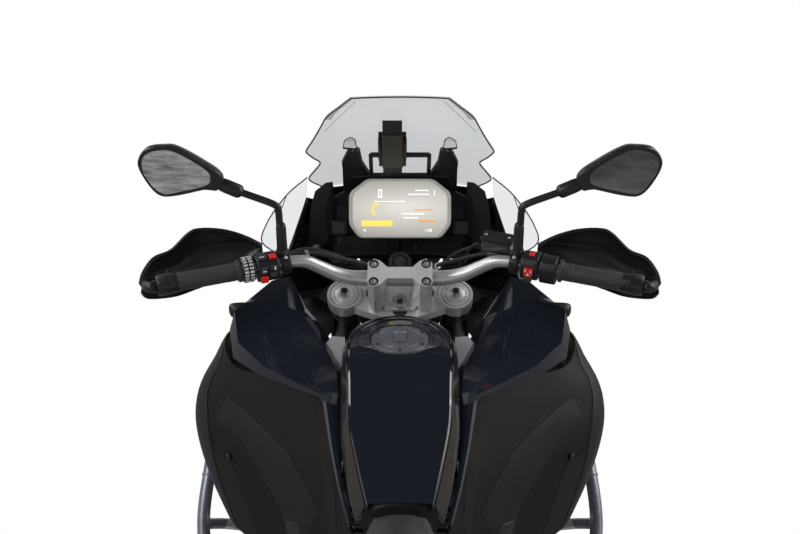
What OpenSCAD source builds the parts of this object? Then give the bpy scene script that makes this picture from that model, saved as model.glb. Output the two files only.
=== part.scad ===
/* [Wheels and stance] */
// Distance of the plate bracket behind the rear axle
tail_reach = 364; // [350:1:380]
// Distance between the two axles
wheelbase = 1593; // [1580:1:1600]
// Outer radius of the front tyre
front_tyre_r = 348; // [344:1:352]
// Width of the front tyre
front_tyre_w = 92; // [88:1:96]
// Height of the front tyre's side wall
front_wall = 80; // [76:1:84]
// Outer radius of the rear tyre
rear_tyre_r = 321; // [317:1:325]
// Width of the rear tyre
rear_tyre_w = 150; // [144:1:152]
// Height of the rear tyre's side wall
rear_wall = 102; // [98:1:106]
// Gap under the rear tyre on the centre stand
rear_lift = 22; // [15:1:30]
// Number of spokes in each quarter of a wheel's lacing
spoke_sets = 9; // [7:1:10]
// Diameter of a spoke
spoke_d = 4; // [3:0.5:4.5]

/* [Fork and steering] */
// Steering head angle from the vertical
rake = 28; // [27:0.5:29]
// Distance ahead of the middle at which the steering axis meets the ground
foot_y = 909.1; // [900:0.1:918]
// Distance of the front axle ahead of the steering axis
axle_offset = 71; // [68:1:74]
// Distance of the fork tubes ahead of the steering axis
tube_offset = 32; // [30:1:34]
// Half the distance between the fork tubes
fork_half = 108; // [104:1:112]
// Radius of the upper fork tubes
fork_tube_r = 27; // [25:0.5:28]
// Radius of the sliding fork stanchions
stanchion_r = 21.5; // [20:0.5:22]
// Radius of the front axle
front_axle_r = 10; // [8:0.5:11]
// Radius of the rear axle
rear_axle_r = 10; // [9:0.5:12]
// Radius of the steering stem
stem_r = 15; // [13:0.5:16]

/* [Brakes and drive] */
// Radius of the front brake discs
front_disc_r = 152.5; // [140:0.5:155]
// Radius of the rear brake disc
rear_disc_r = 132.5; // [120:0.5:135]
// Thickness of the brake discs
disc_t = 4.5; // [4:0.5:5]
// Teeth on the rear sprocket
sprocket_teeth = 48; // [48:12:48]
// Pitch of the drive chain
chain_pitch = 15.875; // [15.5:0.125:16]
// Links in the drive chain
chain_links = 120; // [118:2:122]

/* [Controls] */
// Radius of the handlebar at the grips
bar_r = 11; // [10.5:0.25:11.5]
// Radius of the handlebar at its clamp
bar_mid_r = 15; // [14:0.5:16]
// Radius of the grips
grip_r = 16.5; // [15.5:0.5:17.5]
// Radius of the mirror stems
mirror_stem_r = 6.5; // [5.5:0.5:7]

/* [Body] */
// Thickness of the moulded panels
panel_t = 4; // [3:0.5:5]
// Thickness of the windscreen
screen_t = 4; // [3:0.5:5]
// Radius of the filler cap
cap_r = 52; // [48:1:54]
// Radius of the crash bars
crash_r = 12.5; // [11:0.5:13]
// Diameter of the luggage rack tube
rack_d = 18; // [16:1:20]

/* [Hidden] */
$fn = 48;

// Clearance of a running fit, and of pieces that only lie together
fit = 0.05;
seat_gap = 0.3;

front_rim_r = front_tyre_r - front_wall;
rear_rim_r = rear_tyre_r - rear_wall;
trail = (front_tyre_r * sin(rake) - axle_offset) / cos(rake);
front_y = foot_y - trail;
front_z = front_tyre_r;
rear_y = front_y - wheelbase;
rear_z = rear_tyre_r + rear_lift;
tail_y = rear_y - tail_reach;
axle_rise = trail * sin(rake) + front_z * cos(rake);

// Heights along the steering axis
lower_yoke_z = 925;
yoke_t = 34;
top_yoke_z = 1092;
top_yoke_t = 24;
fork_top_z = 1122;
stanchion_top_z = 655;
head_gap = 5;

// Middle of the handlebar in its clamp, and the straight grip line on each side
bar_mid = [0, 368, 1066];
bar_bend = [200, 342.5, 1117];
bar_tip = [398, 271.3, 1115.2];
bar_dir = unit(bar_tip - bar_bend);
bar_yaw = atan2(bar_dir.y, bar_dir.x);
bar_bend_path = [[64, 368, 1066.3], [96, 366, 1070], [124, 362, 1081], [149, 357, 1097], [173, 351, 1112]];

// Small helpers for curves
function unit(v) = v / norm(v);
function mix(a, b, t) = a + (b - a) * t;
function flip(p) = [-p.x, p.y, p.z];
function turned(list) = [for (i = [len(list) - 1:-1:0]) list[i]];
function cubic(a, b, c, d, t) =
  0.5 * (2 * b + (c - a) * t + (2 * a - 5 * b + 4 * c - d) * t * t + (3 * b - a - 3 * c + d) * t * t * t);
function smooth(p, n) =
  let (last = len(p) - 1)
  [for (i = [0:last - 1]) for (k = [0:n - 1])
    cubic(p[max(i - 1, 0)], p[i], p[i + 1], p[min(i + 2, last)], k / n), p[last]];
function smooth_loop(p, n) =
  let (m = len(p))
  [for (i = [0:m - 1]) for (k = [0:n - 1])
    cubic(p[(i + m - 1) % m], p[i], p[(i + 1) % m], p[(i + 2) % m], k / n)];
function total(v, i = 0, s = 0) = i == len(v) ? s : total(v, i + 1, s + v[i]);
function signed_volume(p, f) =
  total([for (t = f) for (k = [1:len(t) - 2]) p[t[0]] * cross(p[t[k]], p[t[k + 1]])]);
function bar_at(x) = bar_bend + (bar_tip - bar_bend) * (x - bar_bend.x) / (bar_tip.x - bar_bend.x);

// Closed solid with faces turned outward
module solid(points, faces) {
  out = signed_volume(points, faces) > 0 ? [for (f = faces) turned(f)] : faces;
  polyhedron(points = points, faces = out, convexity = 8);
}

// Closed solid through a list of rings with as many points each
module skin(rings) {
  n = len(rings);
  m = len(rings[0]);
  solid(
    [for (r = rings) each r],
    concat(
      [[for (k = [0:m - 1]) k]],
      [[for (k = [m - 1:-1:0]) (n - 1) * m + k]],
      [for (i = [0:n - 2]) for (k = [0:m - 1])
        let (a = i * m + k, b = i * m + (k + 1) % m)
        each [[a, a + m, b + m], [a, b + m, b]]]
    )
  );
}

// Closed skin of thickness t under a grid of points
module panel(grid, t) {
  n = len(grid);
  m = len(grid[0]);
  back = [for (i = [0:n - 1]) for (j = [0:m - 1])
    let (a = grid[min(i + 1, n - 1)][j] - grid[max(i - 1, 0)][j])
    let (b = grid[i][min(j + 1, m - 1)] - grid[i][max(j - 1, 0)])
    grid[i][j] - t * unit(cross(a, b))];
  s = n * m;
  rim = concat(
    [for (j = [0:m - 1]) j],
    [for (i = [1:n - 1]) i * m + m - 1],
    [for (j = [m - 2:-1:0]) (n - 1) * m + j],
    [for (i = [n - 2:-1:1]) i * m]
  );
  solid(
    concat([for (r = grid) each r], back),
    concat(
      [for (i = [0:n - 2]) for (j = [0:m - 2])
        let (a = i * m + j)
        each [[a, a + m, a + m + 1], [a, a + m + 1, a + 1]]],
      [for (i = [0:n - 2]) for (j = [0:m - 2])
        let (a = s + i * m + j)
        each [[a, a + m + 1, a + m], [a, a + 1, a + m + 1]]],
      [for (k = [0:len(rim) - 1])
        let (a = rim[k], b = rim[(k + 1) % len(rim)])
        each [[a, b, b + s], [a, b + s, a + s]]]
    )
  );
}

// Round tube along a path, with one radius or one for each point
module tube(path, r, sides = 10, up = [0, 0, 1]) {
  n = len(path);
  skin([for (i = [0:n - 1])
    let (t = unit(path[min(i + 1, n - 1)] - path[max(i - 1, 0)]))
    let (u = unit(cross(up, t)), v = cross(t, u), q = is_list(r) ? r[i] : r)
    [for (k = [0:sides - 1]) path[i] + q * (cos(360 * k / sides) * u + sin(360 * k / sides) * v)]]);
}

// Straight round rod between two points
module rod(a, b, r) {
  d = b - a;
  translate(a)
    rotate([0, acos(d.z / norm(d)), atan2(d.y, d.x)])
      cylinder(h = norm(d), r = r);
}

// The same piece on both sides
module both() {
  children();
  mirror([1, 0, 0]) children();
}

// Frames of reference: steering axis, wheel axles and the straight of the handlebar
module steer() {
  translate([0, foot_y, 0]) rotate([rake, 0, 0]) children();
}
module at_front() {
  translate([0, front_y, front_z]) rotate([0, 90, 0]) children();
}
module at_rear() {
  translate([0, rear_y, rear_z]) rotate([0, 90, 0]) children();
}
module on_bar(x) {
  translate(bar_at(x)) rotate([0, 0, bar_yaw]) children();
}
// Section in the fore-and-aft plane, x forward and y up, extruded from x0 to x1
module slab(x0, x1) {
  translate([x0, 0, 0]) rotate([90, 0, 90]) linear_extrude(x1 - x0) children();
}

// Wheels
module tyre_ring(r, w, rim_r) {
  bulge = 0.574;
  mid = (rim_r + bulge * r) / (1 + bulge);
  rotate_extrude($fn = 72)
    polygon([for (a = [-125:25:125]) [mid + (r - mid) * cos(a), w / 2 * sin(a)]]);
}
module rim_ring(rim_r, w) {
  r = rim_r - seat_gap;
  rotate_extrude($fn = 72)
    polygon([
      [r, -w / 2], [r, w / 2], [r - 7, w / 2], [r - 12, w / 2 - 8], [r - 19, w / 4],
      [r - 19, -w / 4], [r - 12, 8 - w / 2], [r - 7, -w / 2]
    ]);
}
module spoke_lacing(hub_r, hub_x, rim_in, rim_x) {
  cross_angle = 52;
  for (s = [-1, 1], lead = [-1, 1], k = [0:spoke_sets - 1]) {
    a = 360 * (k + s / 8 + lead / 8) / spoke_sets;
    b = a + lead * cross_angle;
    rod(
      [hub_r * cos(a), hub_r * sin(a), s * hub_x + lead * (spoke_d / 2 + 0.6)],
      [rim_in * cos(b), rim_in * sin(b), s * rim_x + lead * (spoke_d / 2 + 0.6)],
      spoke_d / 2
    );
  }
}
module wheel_hub(bore_r, body_r, flange_r, flange_x, left, right) {
  rotate_extrude()
    polygon([
      [bore_r, -left], [body_r, -left], [body_r, -flange_x - 6], [flange_r, -flange_x - 6],
      [flange_r, -flange_x + 6], [body_r - 4, -flange_x + 12], [body_r - 4, flange_x - 12],
      [flange_r, flange_x - 6], [flange_r, flange_x + 6], [body_r, flange_x + 6],
      [body_r, right], [bore_r, right]
    ]);
}
// Brake disc with a drilled band and an open carrier
module disc_plate(r, hub_r, holes) {
  band = 36;
  linear_extrude(disc_t, center = true)
    difference() {
      circle(r = r, $fn = 72);
      circle(r = hub_r);
      for (k = [0:5])
        rotate(60 * k + 30)
          polygon([
            [hub_r + 16, -14], [r - band - 2, -32], [r - band + 2, 0], [r - band - 2, 32], [hub_r + 16, 14]
          ]);
      for (k = [0:holes - 1], row = [0, 1])
        rotate(360 * (k + row / 2) / holes)
          translate([r - band * (0.3 + 0.4 * row), 0])
            circle(r = 4, $fn = 16);
    }
}

front_disc_x = 66;
carrier_t = 4;
front_hub_half = front_disc_x - disc_t / 2 - carrier_t;
front_flange_r = 40;
front_flange_x = 26;
module front_tyre() {
  color("#1b1b1c") at_front() tyre_ring(front_tyre_r, front_tyre_w, front_rim_r);
}
module front_rim() {
  color("#26272a") at_front() rim_ring(front_rim_r, front_tyre_w * 0.72);
}
module front_hub() {
  color("#9a9c9f") at_front() {
    wheel_hub(front_axle_r + fit, 26, front_flange_r, front_flange_x, front_hub_half, front_hub_half);
    spoke_lacing(front_flange_r - 3, front_flange_x, front_rim_r - 20.2, 13);
  }
}
module front_discs() {
  color("#a8a9ab") at_front()
    for (s = [-1, 1])
      translate([0, 0, s * front_disc_x]) {
        disc_plate(front_disc_r, front_axle_r + 12, 18);
        translate([0, 0, -s * (disc_t + carrier_t) / 2])
          linear_extrude(carrier_t, center = true)
            difference() {
              circle(r = 38);
              circle(r = front_axle_r + 12);
            }
      }
}

rear_flange_r = 52;
rear_flange_x = 34;
rear_disc_x = 84;
chain_x = -92;
module rear_tyre() {
  color("#1b1b1c") at_rear() tyre_ring(rear_tyre_r, rear_tyre_w, rear_rim_r);
}
module rear_rim() {
  color("#26272a") at_rear() rim_ring(rear_rim_r, rear_tyre_w * 0.72);
}
module rear_hub() {
  color("#9a9c9f") at_rear() {
    wheel_hub(rear_axle_r + fit, 40, rear_flange_r, rear_flange_x, -chain_x - 3, rear_disc_x - disc_t / 2);
    spoke_lacing(rear_flange_r - 3, rear_flange_x, rear_rim_r - 20.2, 24);
  }
}
module rear_disc() {
  color("#a8a9ab") at_rear() translate([0, 0, rear_disc_x]) disc_plate(rear_disc_r, 24, 16);
}

// Chain drive: pitch radii, centres and the loop's outline
sprocket_r = chain_pitch / (2 * sin(180 / sprocket_teeth));
pinion_teeth = 17;
pinion_r = chain_pitch / (2 * sin(180 / pinion_teeth));
pinion_y = -104;
pinion_z = 424;
chain_plate_t = 2.4;
chain_gap = 8;
run_len = norm([pinion_y - rear_y, pinion_z - rear_z]);
run_tilt = atan2(pinion_z - rear_z, pinion_y - rear_y);
run_lead = asin((sprocket_r - pinion_r) / run_len);
straight = run_len * cos(run_lead);
wrap_rear = 180 + 2 * run_lead;
wrap_front = 180 - 2 * run_lead;
arc_rear = sprocket_r * wrap_rear * PI / 180;
arc_front = pinion_r * wrap_front * PI / 180;
loop_len = 2 * straight + arc_rear + arc_front;
// Point of the chain loop at distance s, moved out by d; it starts where the top run leaves the rear sprocket
function loop_pt(s, d) =
  let (up = run_tilt + 90 - run_lead, down = run_tilt - 90 + run_lead)
  s < straight
    ? [rear_y, rear_z] + (sprocket_r + d) * [cos(up), sin(up)] + s * [sin(up), -cos(up)]
    : s < straight + arc_front
      ? let (a = up - (s - straight) / pinion_r * 180 / PI)
        [pinion_y, pinion_z] + (pinion_r + d) * [cos(a), sin(a)]
      : s < 2 * straight + arc_front
        ? let (q = s - straight - arc_front)
          [pinion_y, pinion_z] + (pinion_r + d) * [cos(down), sin(down)] + q * [sin(down), -cos(down)]
        : let (a = down - (s - 2 * straight - arc_front) / sprocket_r * 180 / PI)
          [rear_y, rear_z] + (sprocket_r + d) * [cos(a), sin(a)];
function chain_edge(side) =
  [for (k = [0:2 * chain_links - 1])
    loop_pt(k * loop_len / (2 * chain_links), side * (k % 2 == 0 ? 7 : 5))];
module drive_chain() {
  color("#77767a")
    for (x = [chain_x - chain_gap / 2 - chain_plate_t, chain_x + chain_gap / 2])
      slab(x, x + chain_plate_t)
        difference() {
          polygon(chain_edge(1));
          polygon(chain_edge(-1));
        }
  color("#5c5b5e")
    for (run = [[52, straight - 24], [straight + arc_front + 24, 2 * straight + arc_front - 52]])
      slab(chain_x - chain_gap / 2 + fit, chain_x + chain_gap / 2 - fit)
        polygon([loop_pt(run[0], 4), loop_pt(run[1], 4), loop_pt(run[1], -4), loop_pt(run[0], -4)]);
}
module rear_sprocket() {
  tooth = 5;
  color("#55565a") at_rear() translate([0, 0, chain_x])
    linear_extrude(6, center = true)
      difference() {
        polygon([for (k = [0:4 * sprocket_teeth - 1])
          let (a = 90 * k / sprocket_teeth, r = sprocket_r + (k % 4 < 2 ? tooth : -tooth))
          r * [cos(a), sin(a)]]);
        circle(r = 30);
        for (k = [0:5]) rotate(60 * k) translate([76, 0]) circle(r = 22);
      }
}

// Fork, yokes and axle, in the steering axis frame
ring_r = fork_tube_r + 7;
yoke_front = tube_offset + ring_r * 0.7;
module yoke_plate(z, t, spine, stem_hole = true) {
  translate([0, 0, z])
    linear_extrude(t)
      difference() {
        union() {
          for (s = [-1, 1]) translate([s * fork_half, tube_offset]) circle(r = ring_r);
          circle(r = stem_r + 15);
          polygon([
            [-fork_half, yoke_front], [fork_half, yoke_front],
            [fork_half, tube_offset - ring_r * 0.6], [stem_r + 10, -stem_r - spine],
            [-stem_r - 10, -stem_r - spine], [-fork_half, tube_offset - ring_r * 0.6]
          ]);
        }
        for (s = [-1, 1]) translate([s * fork_half, tube_offset]) circle(r = fork_tube_r + fit);
        if (stem_hole) circle(r = stem_r + fit);
        for (s = [-1, 1]) translate([s * fork_half / 2, tube_offset + 6]) circle(r = 13);
      }
}
riser_y = (bar_mid.y - foot_y) * cos(rake) + bar_mid.z * sin(rake);
bar_rise = (foot_y - bar_mid.y) * sin(rake) + bar_mid.z * cos(rake);
// Clamp over the handlebar: a bridge between two plates with pointed ends
clamp_top = bar_rise + bar_mid_r + 6;
clamp_half = [60.5, 30.7];
clamp_bolt = [49, 19];
clamp_side = [
  [clamp_half.x, -22], [clamp_half.x, 22], [clamp_bolt.x, clamp_half.y], [37, 26], [24, 12.5], [24, -12.5],
  [37, -26], [clamp_bolt.x, -clamp_half.y]
];
module top_yoke() {
  boss = [[-28, -4], [28, -4], [36.5, 20], [36.5, 43], [22, 57], [-22, 57], [-36.5, 43], [-36.5, 20]];
  yoke_top = top_yoke_z + top_yoke_t;
  color("#b4b6b9") steer() {
    yoke_plate(top_yoke_z, top_yoke_t, 4);
    difference() {
      union() {
        both()
          translate([0, riser_y, yoke_top])
            linear_extrude(clamp_top - yoke_top) polygon(clamp_side);
        translate([-25, riser_y - 12.5, bar_rise + 2]) cube([50, 25, clamp_top - bar_rise - 2]);
      }
      translate([-clamp_half.x - 1, riser_y, bar_rise]) rotate([0, 90, 0])
        cylinder(r = bar_mid_r + fit, h = 2 * clamp_half.x + 2);
      for (x = [-clamp_bolt.x, clamp_bolt.x], y = [-clamp_bolt.y, clamp_bolt.y])
        translate([x, riser_y + y, clamp_top - 4]) cylinder(r = 6.5, h = 5);
    }
    // Raised middle of the yoke round the stem nut
    translate([0, 0, yoke_top])
      linear_extrude(7)
        difference() {
          polygon(boss);
          translate([0, 14]) circle(r = 5);
        }
  }
}
module bottom_yoke() {
  color("#2a2b2d") steer() {
    yoke_plate(lower_yoke_z, yoke_t, 6, false);
    translate([0, 0, lower_yoke_z]) cylinder(r = stem_r, h = top_yoke_z + top_yoke_t - lower_yoke_z);
  }
}
// Inner face of the fork's feet
fork_foot_x = fork_half - 16;
module fork_tubes() {
  // Lug for the front axle, and the ear behind it for the calliper
  axle_lug = [
    [axle_offset + 22, axle_rise + 8], [tube_offset + 25, axle_rise + 70],
    [tube_offset + 25, axle_rise + 100], [tube_offset - 25, axle_rise + 100],
    [tube_offset - 25, axle_rise + 40], [axle_offset - 14, axle_rise - 20]
  ];
  ear = [
    [tube_offset - 10, axle_rise + 36], [-44, axle_rise + 20], [-58, axle_rise + 52], [-28, axle_rise + 96],
    [tube_offset - 10, axle_rise + 98]
  ];
  color("#2b2c2f") steer()
    both() {
      translate([fork_half, tube_offset, stanchion_top_z])
        difference() {
          cylinder(r = fork_tube_r, h = fork_top_z - stanchion_top_z);
          translate([0, 0, fork_top_z - stanchion_top_z - 4]) cylinder(r = fork_tube_r - 5, h = 5);
        }
      translate([fork_half, tube_offset, fork_top_z - 4]) cylinder(r = 9, h = 14);
      difference() {
        union() {
          slab(fork_foot_x, fork_foot_x + 34) {
            translate([axle_offset, axle_rise]) circle(r = front_axle_r + 14);
            polygon(axle_lug);
          }
          slab(fork_foot_x, fork_foot_x + 14) polygon(ear);
          translate([fork_half, tube_offset, axle_rise + 70]) cylinder(r = stanchion_r + 6, h = 40);
        }
        translate([fork_foot_x - 1, axle_offset, axle_rise]) rotate([0, 90, 0])
          cylinder(r = front_axle_r + fit, h = 60);
        translate([fork_half, tube_offset, axle_rise + 50]) cylinder(r = stanchion_r + fit, h = 70);
      }
    }
}
module fork_stanchions() {
  color("#c9c5b8") steer()
    both()
      translate([fork_half, tube_offset, axle_rise + 50])
        cylinder(r = stanchion_r, h = stanchion_top_z - axle_rise - 50);
}
module front_axle() {
  half = fork_half + 22;
  color("#8c8e91") at_front() {
    translate([0, 0, -half]) cylinder(r = front_axle_r, h = 2 * half);
    for (s = [-1, 1])
      translate([0, 0, s * (fork_half + 18 + 5)]) cylinder(r = front_axle_r + 5, h = 9, center = true);
    for (s = [-1, 1])
      translate([0, 0, s * (front_hub_half + fork_foot_x) / 2 + s * 1.5])
        difference() {
          cylinder(r = front_axle_r + 6, h = fork_foot_x - front_hub_half - 6, center = true);
          cylinder(r = front_axle_r - 1, h = 60, center = true);
        }
  }
}
module front_mudguard() {
  guard_r = front_tyre_r + 24;
  strut_y = tube_offset + stanchion_r + 6 + seat_gap;
  arc = [for (a = [28:12:160]) a];
  section = [[-66, -34], [-60, -12], [-34, 0], [0, 5], [34, 0], [60, -12], [66, -34]];
  color("#18191c") {
    panel([for (a = arc) [for (q = section)
      let (w = a < 40 ? 0.72 : 1, r = guard_r + q.y)
      [q.x * w, front_y + r * cos(a), front_z + r * sin(a)]]], -panel_t);
    steer()
      both() {
        translate([fork_half - 18, strut_y, axle_rise + 66]) cube([36, 3, guard_r - 72]);
        translate([67, strut_y, axle_rise + guard_r - 72]) cube([fork_half - 18 - 67, 3, 40]);
      }
  }
}
module front_calipers() {
  body = [[-26, -52], [14, -52], [24, -36], [24, 36], [14, 52], [-26, 52], [-36, 30], [-36, -30]];
  color("#3a3b3e") steer()
    both()
      difference() {
        translate([0, axle_offset - 105.2, axle_rise + 54])
          rotate([-32, 0, 0])
            slab(front_disc_x - 24, fork_foot_x - seat_gap)
              polygon(body);
        translate([front_disc_x - disc_t / 2 - 5, axle_offset, axle_rise])
          rotate([0, 90, 0]) cylinder(r = front_disc_r + 6, h = disc_t + 10, $fn = 72);
      }
}

// Handlebar and what it carries
module handlebar() {
  bend = smooth(concat(bar_bend_path, [bar_bend, bar_at(214)]), 2);
  right = concat([bar_mid + [59, 0, 0]], bend, [bar_tip]);
  path = concat([for (p = turned(right)) flip(p)], right);
  radii = [for (p = path) mix(bar_mid_r, bar_r, max(0, min(1, (abs(p.x) - 62) / 130)))];
  color("#a9a8a4") tube(path, radii, 14);
}
// Inner end of the grips and length of the weights at the bar's ends
grip_x = 290;
weight_len = 35;
module grips() {
  color("#141416")
    both()
      difference() {
        union() {
          rod(bar_at(grip_x), bar_at(bar_tip.x - 1), grip_r);
          rod(bar_at(grip_x), bar_at(grip_x + 5), grip_r + 4);
        }
        rod(bar_at(grip_x - 8), bar_at(bar_tip.x + 5), bar_r + fit);
      }
  color("#1d1d1f")
    both() {
      rod(bar_at(bar_tip.x), bar_at(bar_tip.x + 14), grip_r);
      rod(bar_at(bar_tip.x + 14), bar_at(bar_tip.x + weight_len), grip_r + 2.5);
    }
}
// Housing clamped round the bar from x0 outward
module bar_housing(x0, w, up, front, back, down) {
  on_bar(x0)
    slab(0, w)
      difference() {
        polygon([
          [-back, -down * 0.6], [-back * 0.6, -down], [front * 0.5, -down], [front, -down * 0.4],
          [front, up * 0.5], [front * 0.6, up], [-back * 0.6, up], [-back, up * 0.5]
        ]);
        circle(r = bar_r + 0.4);
      }
}
// Distance of the ignition switch ahead of the steering axis
switch_y = 84;
module switchgear() {
  color("#1c1c1e") {
    both() bar_housing(203, 18, 17, 20, 18, 18);
    mirror([1, 0, 0]) {
      bar_housing(224.5, 41.5, 22, 26, 24, 24);
      bar_housing(267, grip_x - 269, 23, 23, 23, 23);
    }
    bar_housing(224.5, 32.5, 24, 24, 24, 22);
    bar_housing(258, grip_x - 260, 23, 22, 24, 24);
  }
  // Start and hazard buttons, rocker and ignition button
  color("#c8201c") {
    mirror([1, 0, 0]) on_bar(232) translate([-8, -14, 22]) cube([16, 12, 5]);
    mirror([1, 0, 0]) on_bar(254) translate([-8, -29, -12]) cube([14, 5, 9]);
    on_bar(240) translate([-8, -29, -6]) cube([14, 5, 14]);
  }
  color("#1c1c1e") steer() {
    translate([0, switch_y, top_yoke_z]) cylinder(r = 23, h = 64);
    translate([-12, yoke_front + seat_gap, top_yoke_z + 2]) cube([24, switch_y - yoke_front - 8, 18]);
  }
}
lever_path = [[0, 34, -6], [36, 42, -10], [100, 58, -14], [150, 60, -14], [188, 56, -14], [204, 60, -14]];
module levers() {
  color("#b0b1b3")
    both()
      on_bar(214) tube(smooth(lever_path, 2), [7, 7, 7, 6.5, 6, 5.5, 5, 5, 5, 6, 8], 8);
  color("#2a2a2c")
    both() on_bar(204) {
      translate([-4, 20.3, -16]) cube([24, 20, 20]);
    }
  // Master cylinder with its reservoir on the right, clutch cable end on the left
  color("#242426") {
    on_bar(196) translate([-42, 24, -4]) rotate([0, 90, 0]) cylinder(r = 10, h = 46);
    on_bar(196) translate([-56, 10, 8]) cube([60, 34, 26]);
    on_bar(196) translate([-8, 24, 4]) cylinder(r = 6, h = 5);
    mirror([1, 0, 0]) on_bar(196) translate([-30, 26, -6]) rotate([0, 90, 0]) cylinder(r = 7, h = 34);
  }
}
guard_rows = [
  [467, 292, 1104, 1080], [466, 318, 1111, 1056], [452, 350, 1122, 1036], [424, 372, 1126, 1028],
  [392, 385, 1154, 1034], [371, 391, 1160, 1040], [330, 398, 1154, 1058], [290, 402, 1138, 1082],
  [262, 402, 1118, 1100]
];
module hand_guards() {
  color("#1b1c1e")
    both() {
      panel([for (q = guard_rows) [for (t = [0, 0.25, 0.5, 0.75, 1])
        [q[0], q[1] + 14 * sin(180 * t), mix(q[2], q[3], t)]]], panel_t);
      rod(bar_at(bar_tip.x + weight_len + seat_gap), bar_at(bar_tip.x + weight_len + 12), 11);
      rod(bar_at(bar_tip.x + weight_len + 8), [466, 303, 1094], 8);
    }
}
mirror_outline = [
  [311, 1292], [344, 1320], [388, 1347], [413, 1350], [441, 1345], [458, 1318], [446, 1281], [426, 1256],
  [397, 1255], [339, 1268], [322, 1266]
];
glass_outline = [
  [333, 1289], [338, 1304], [365, 1325], [396, 1342], [420, 1343], [442, 1335], [453, 1313], [441, 1283],
  [422, 1260], [380, 1266], [341, 1277]
];
mirror_y = 334;
mirror_mid = [388, 1303];
mirror_stem = [
  [215, 341, 1136], [217, 341, 1198], [218, 341.5, 1222], [226, 342.5, 1235], [284, 345, 1258],
  [317, 346.5, 1273]
];
function mirror_ring(scale, y) =
  [for (p = smooth_loop(mirror_outline, 2))
    let (q = mirror_mid + (p - mirror_mid) * scale) [q.x, y, q.y]];
module mirrors() {
  color("#18181a")
    both() {
      skin([
        mirror_ring(0.93, mirror_y), mirror_ring(1, mirror_y + 5), mirror_ring(0.97, mirror_y + 14),
        mirror_ring(0.82, mirror_y + 26), mirror_ring(0.45, mirror_y + 35)
      ]);
      tube(smooth(mirror_stem, 2), mirror_stem_r, 10, [0, 1, 0]);
      translate([215, 341, 1134.8]) cylinder(r1 = 10.5, r2 = 8.5, h = 62);
      rod(mirror_stem[4], mirror_stem[5], 12.5);
      rod(mirror_stem[5], [334, 350, 1282], 9);
    }
}
module mirror_glass() {
  color("#8f979e")
    both()
      translate([0, mirror_y - 0.2, 0]) rotate([90, 0, 0]) linear_extrude(1.5)
        polygon(smooth_loop(glass_outline, 2));
}
hose_top = [
  [148, 67.5, 1246], [134, 84, 1205], [112, 84, 1120], [98, 78, 1010], [84, 78, 945], [60, 74, 900]
];
hose_low = [
  [60, 74, 900], [60, 40, 860], [70, 6, 810], [92, -6, 740], [100, -6, 620], [97, -12, 520], [84, -28, 470]
];
module brake_hoses() {
  color("#202022") steer() {
    tube(smooth(concat(hose_top, [hose_low[1]]), 3), 3.5, 8, [1, 0, 0]);
    mirror([1, 0, 0]) tube(smooth(hose_low, 3), 3.5, 8, [1, 0, 0]);
    tube(smooth(hose_low, 3), 3.5, 8, [1, 0, 0]);
  }
}

// Frame: steering head, spars, pivot plates and the seat's subframe
head_z0 = lower_yoke_z + yoke_t + head_gap;
head_z1 = top_yoke_z - head_gap;
pivot_y = -190;
pivot_z = 430;
stand_pivot_y = -232;
stand_pivot_z = 268;
spar_path = [
  [34, 384, 884], [46, 350, 866], [104, 296, 826], [136, 240, 786], [139, 100, 690], [132, -60, 590],
  [128, -150, 520]
];
spar_r = [15, 16, 17, 17, 19, 20, 21, 21, 21, 21, 21, 21, 20];
down_path = [[104, 292, 822], [128, 290, 700], [131, 300, 560], [128, 306, 440], [118.3, 303, 368]];
seat_path = [[134, -20, 618], [120, -240, 770], [118, -480, 838], [108, -760, 880], [92, -900, 900]];
brace_path = [[128, -160, 480], [128, -300, 600], [119, -500, 818]];
head_r = stem_r + 13;
arm_x = 112;
arm_w = 26;
plate_x = arm_x + arm_w / 2 + 1;
plate_w = 18;
stand_arm_x = 104;
stand_bolt_r = 8;
side_pivot = [-plate_x - plate_w - 8, -120, 268];
module steering_head() {
  color("#2d2e31") steer()
    difference() {
      translate([0, 0, head_z0]) cylinder(r = head_r, h = head_z1 - head_z0);
      translate([0, 0, head_z0 - 1]) cylinder(r = stem_r + fit, h = head_z1 - head_z0 + 2);
    }
}
// Bolts that carry the swingarm and the stands between the frame's plates
module pivot_bolts() {
  color("#8c8e91") {
    translate([-plate_x, pivot_y, pivot_z]) rotate([0, 90, 0]) cylinder(r = 11 - fit, h = 2 * plate_x);
    both()
      translate([stand_arm_x - 6, stand_pivot_y, stand_pivot_z])
        rotate([0, 90, 0]) cylinder(r = stand_bolt_r, h = plate_x - stand_arm_x + 6);
    translate([side_pivot.x - 11, side_pivot.y, side_pivot.z])
      rotate([0, 90, 0]) cylinder(r = stand_bolt_r, h = -plate_x - plate_w - side_pivot.x + 11);
  }
}
// Stay between the fork tubes that carries the cockpit, headlight and fairing
stay = [580, 968];
stay_half = 204;
module front_stay() {
  color("#2d2e31") {
    steer() translate([-11, head_r + seat_gap, head_z0 + 34]) cube([22, 138, 40]);
    translate([-stay_half, stay.x, stay.y]) rotate([0, 90, 0]) cylinder(r = 9, h = 2 * stay_half);
    both() {
      translate([50, stay.x, stay.y]) rotate([-90, 0, 0]) cylinder(r = 7, h = 610 - seat_gap - stay.x);
      translate([96, stay.x, stay.y]) cylinder(r = 7, h = 38.2);
    }
  }
}
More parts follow.
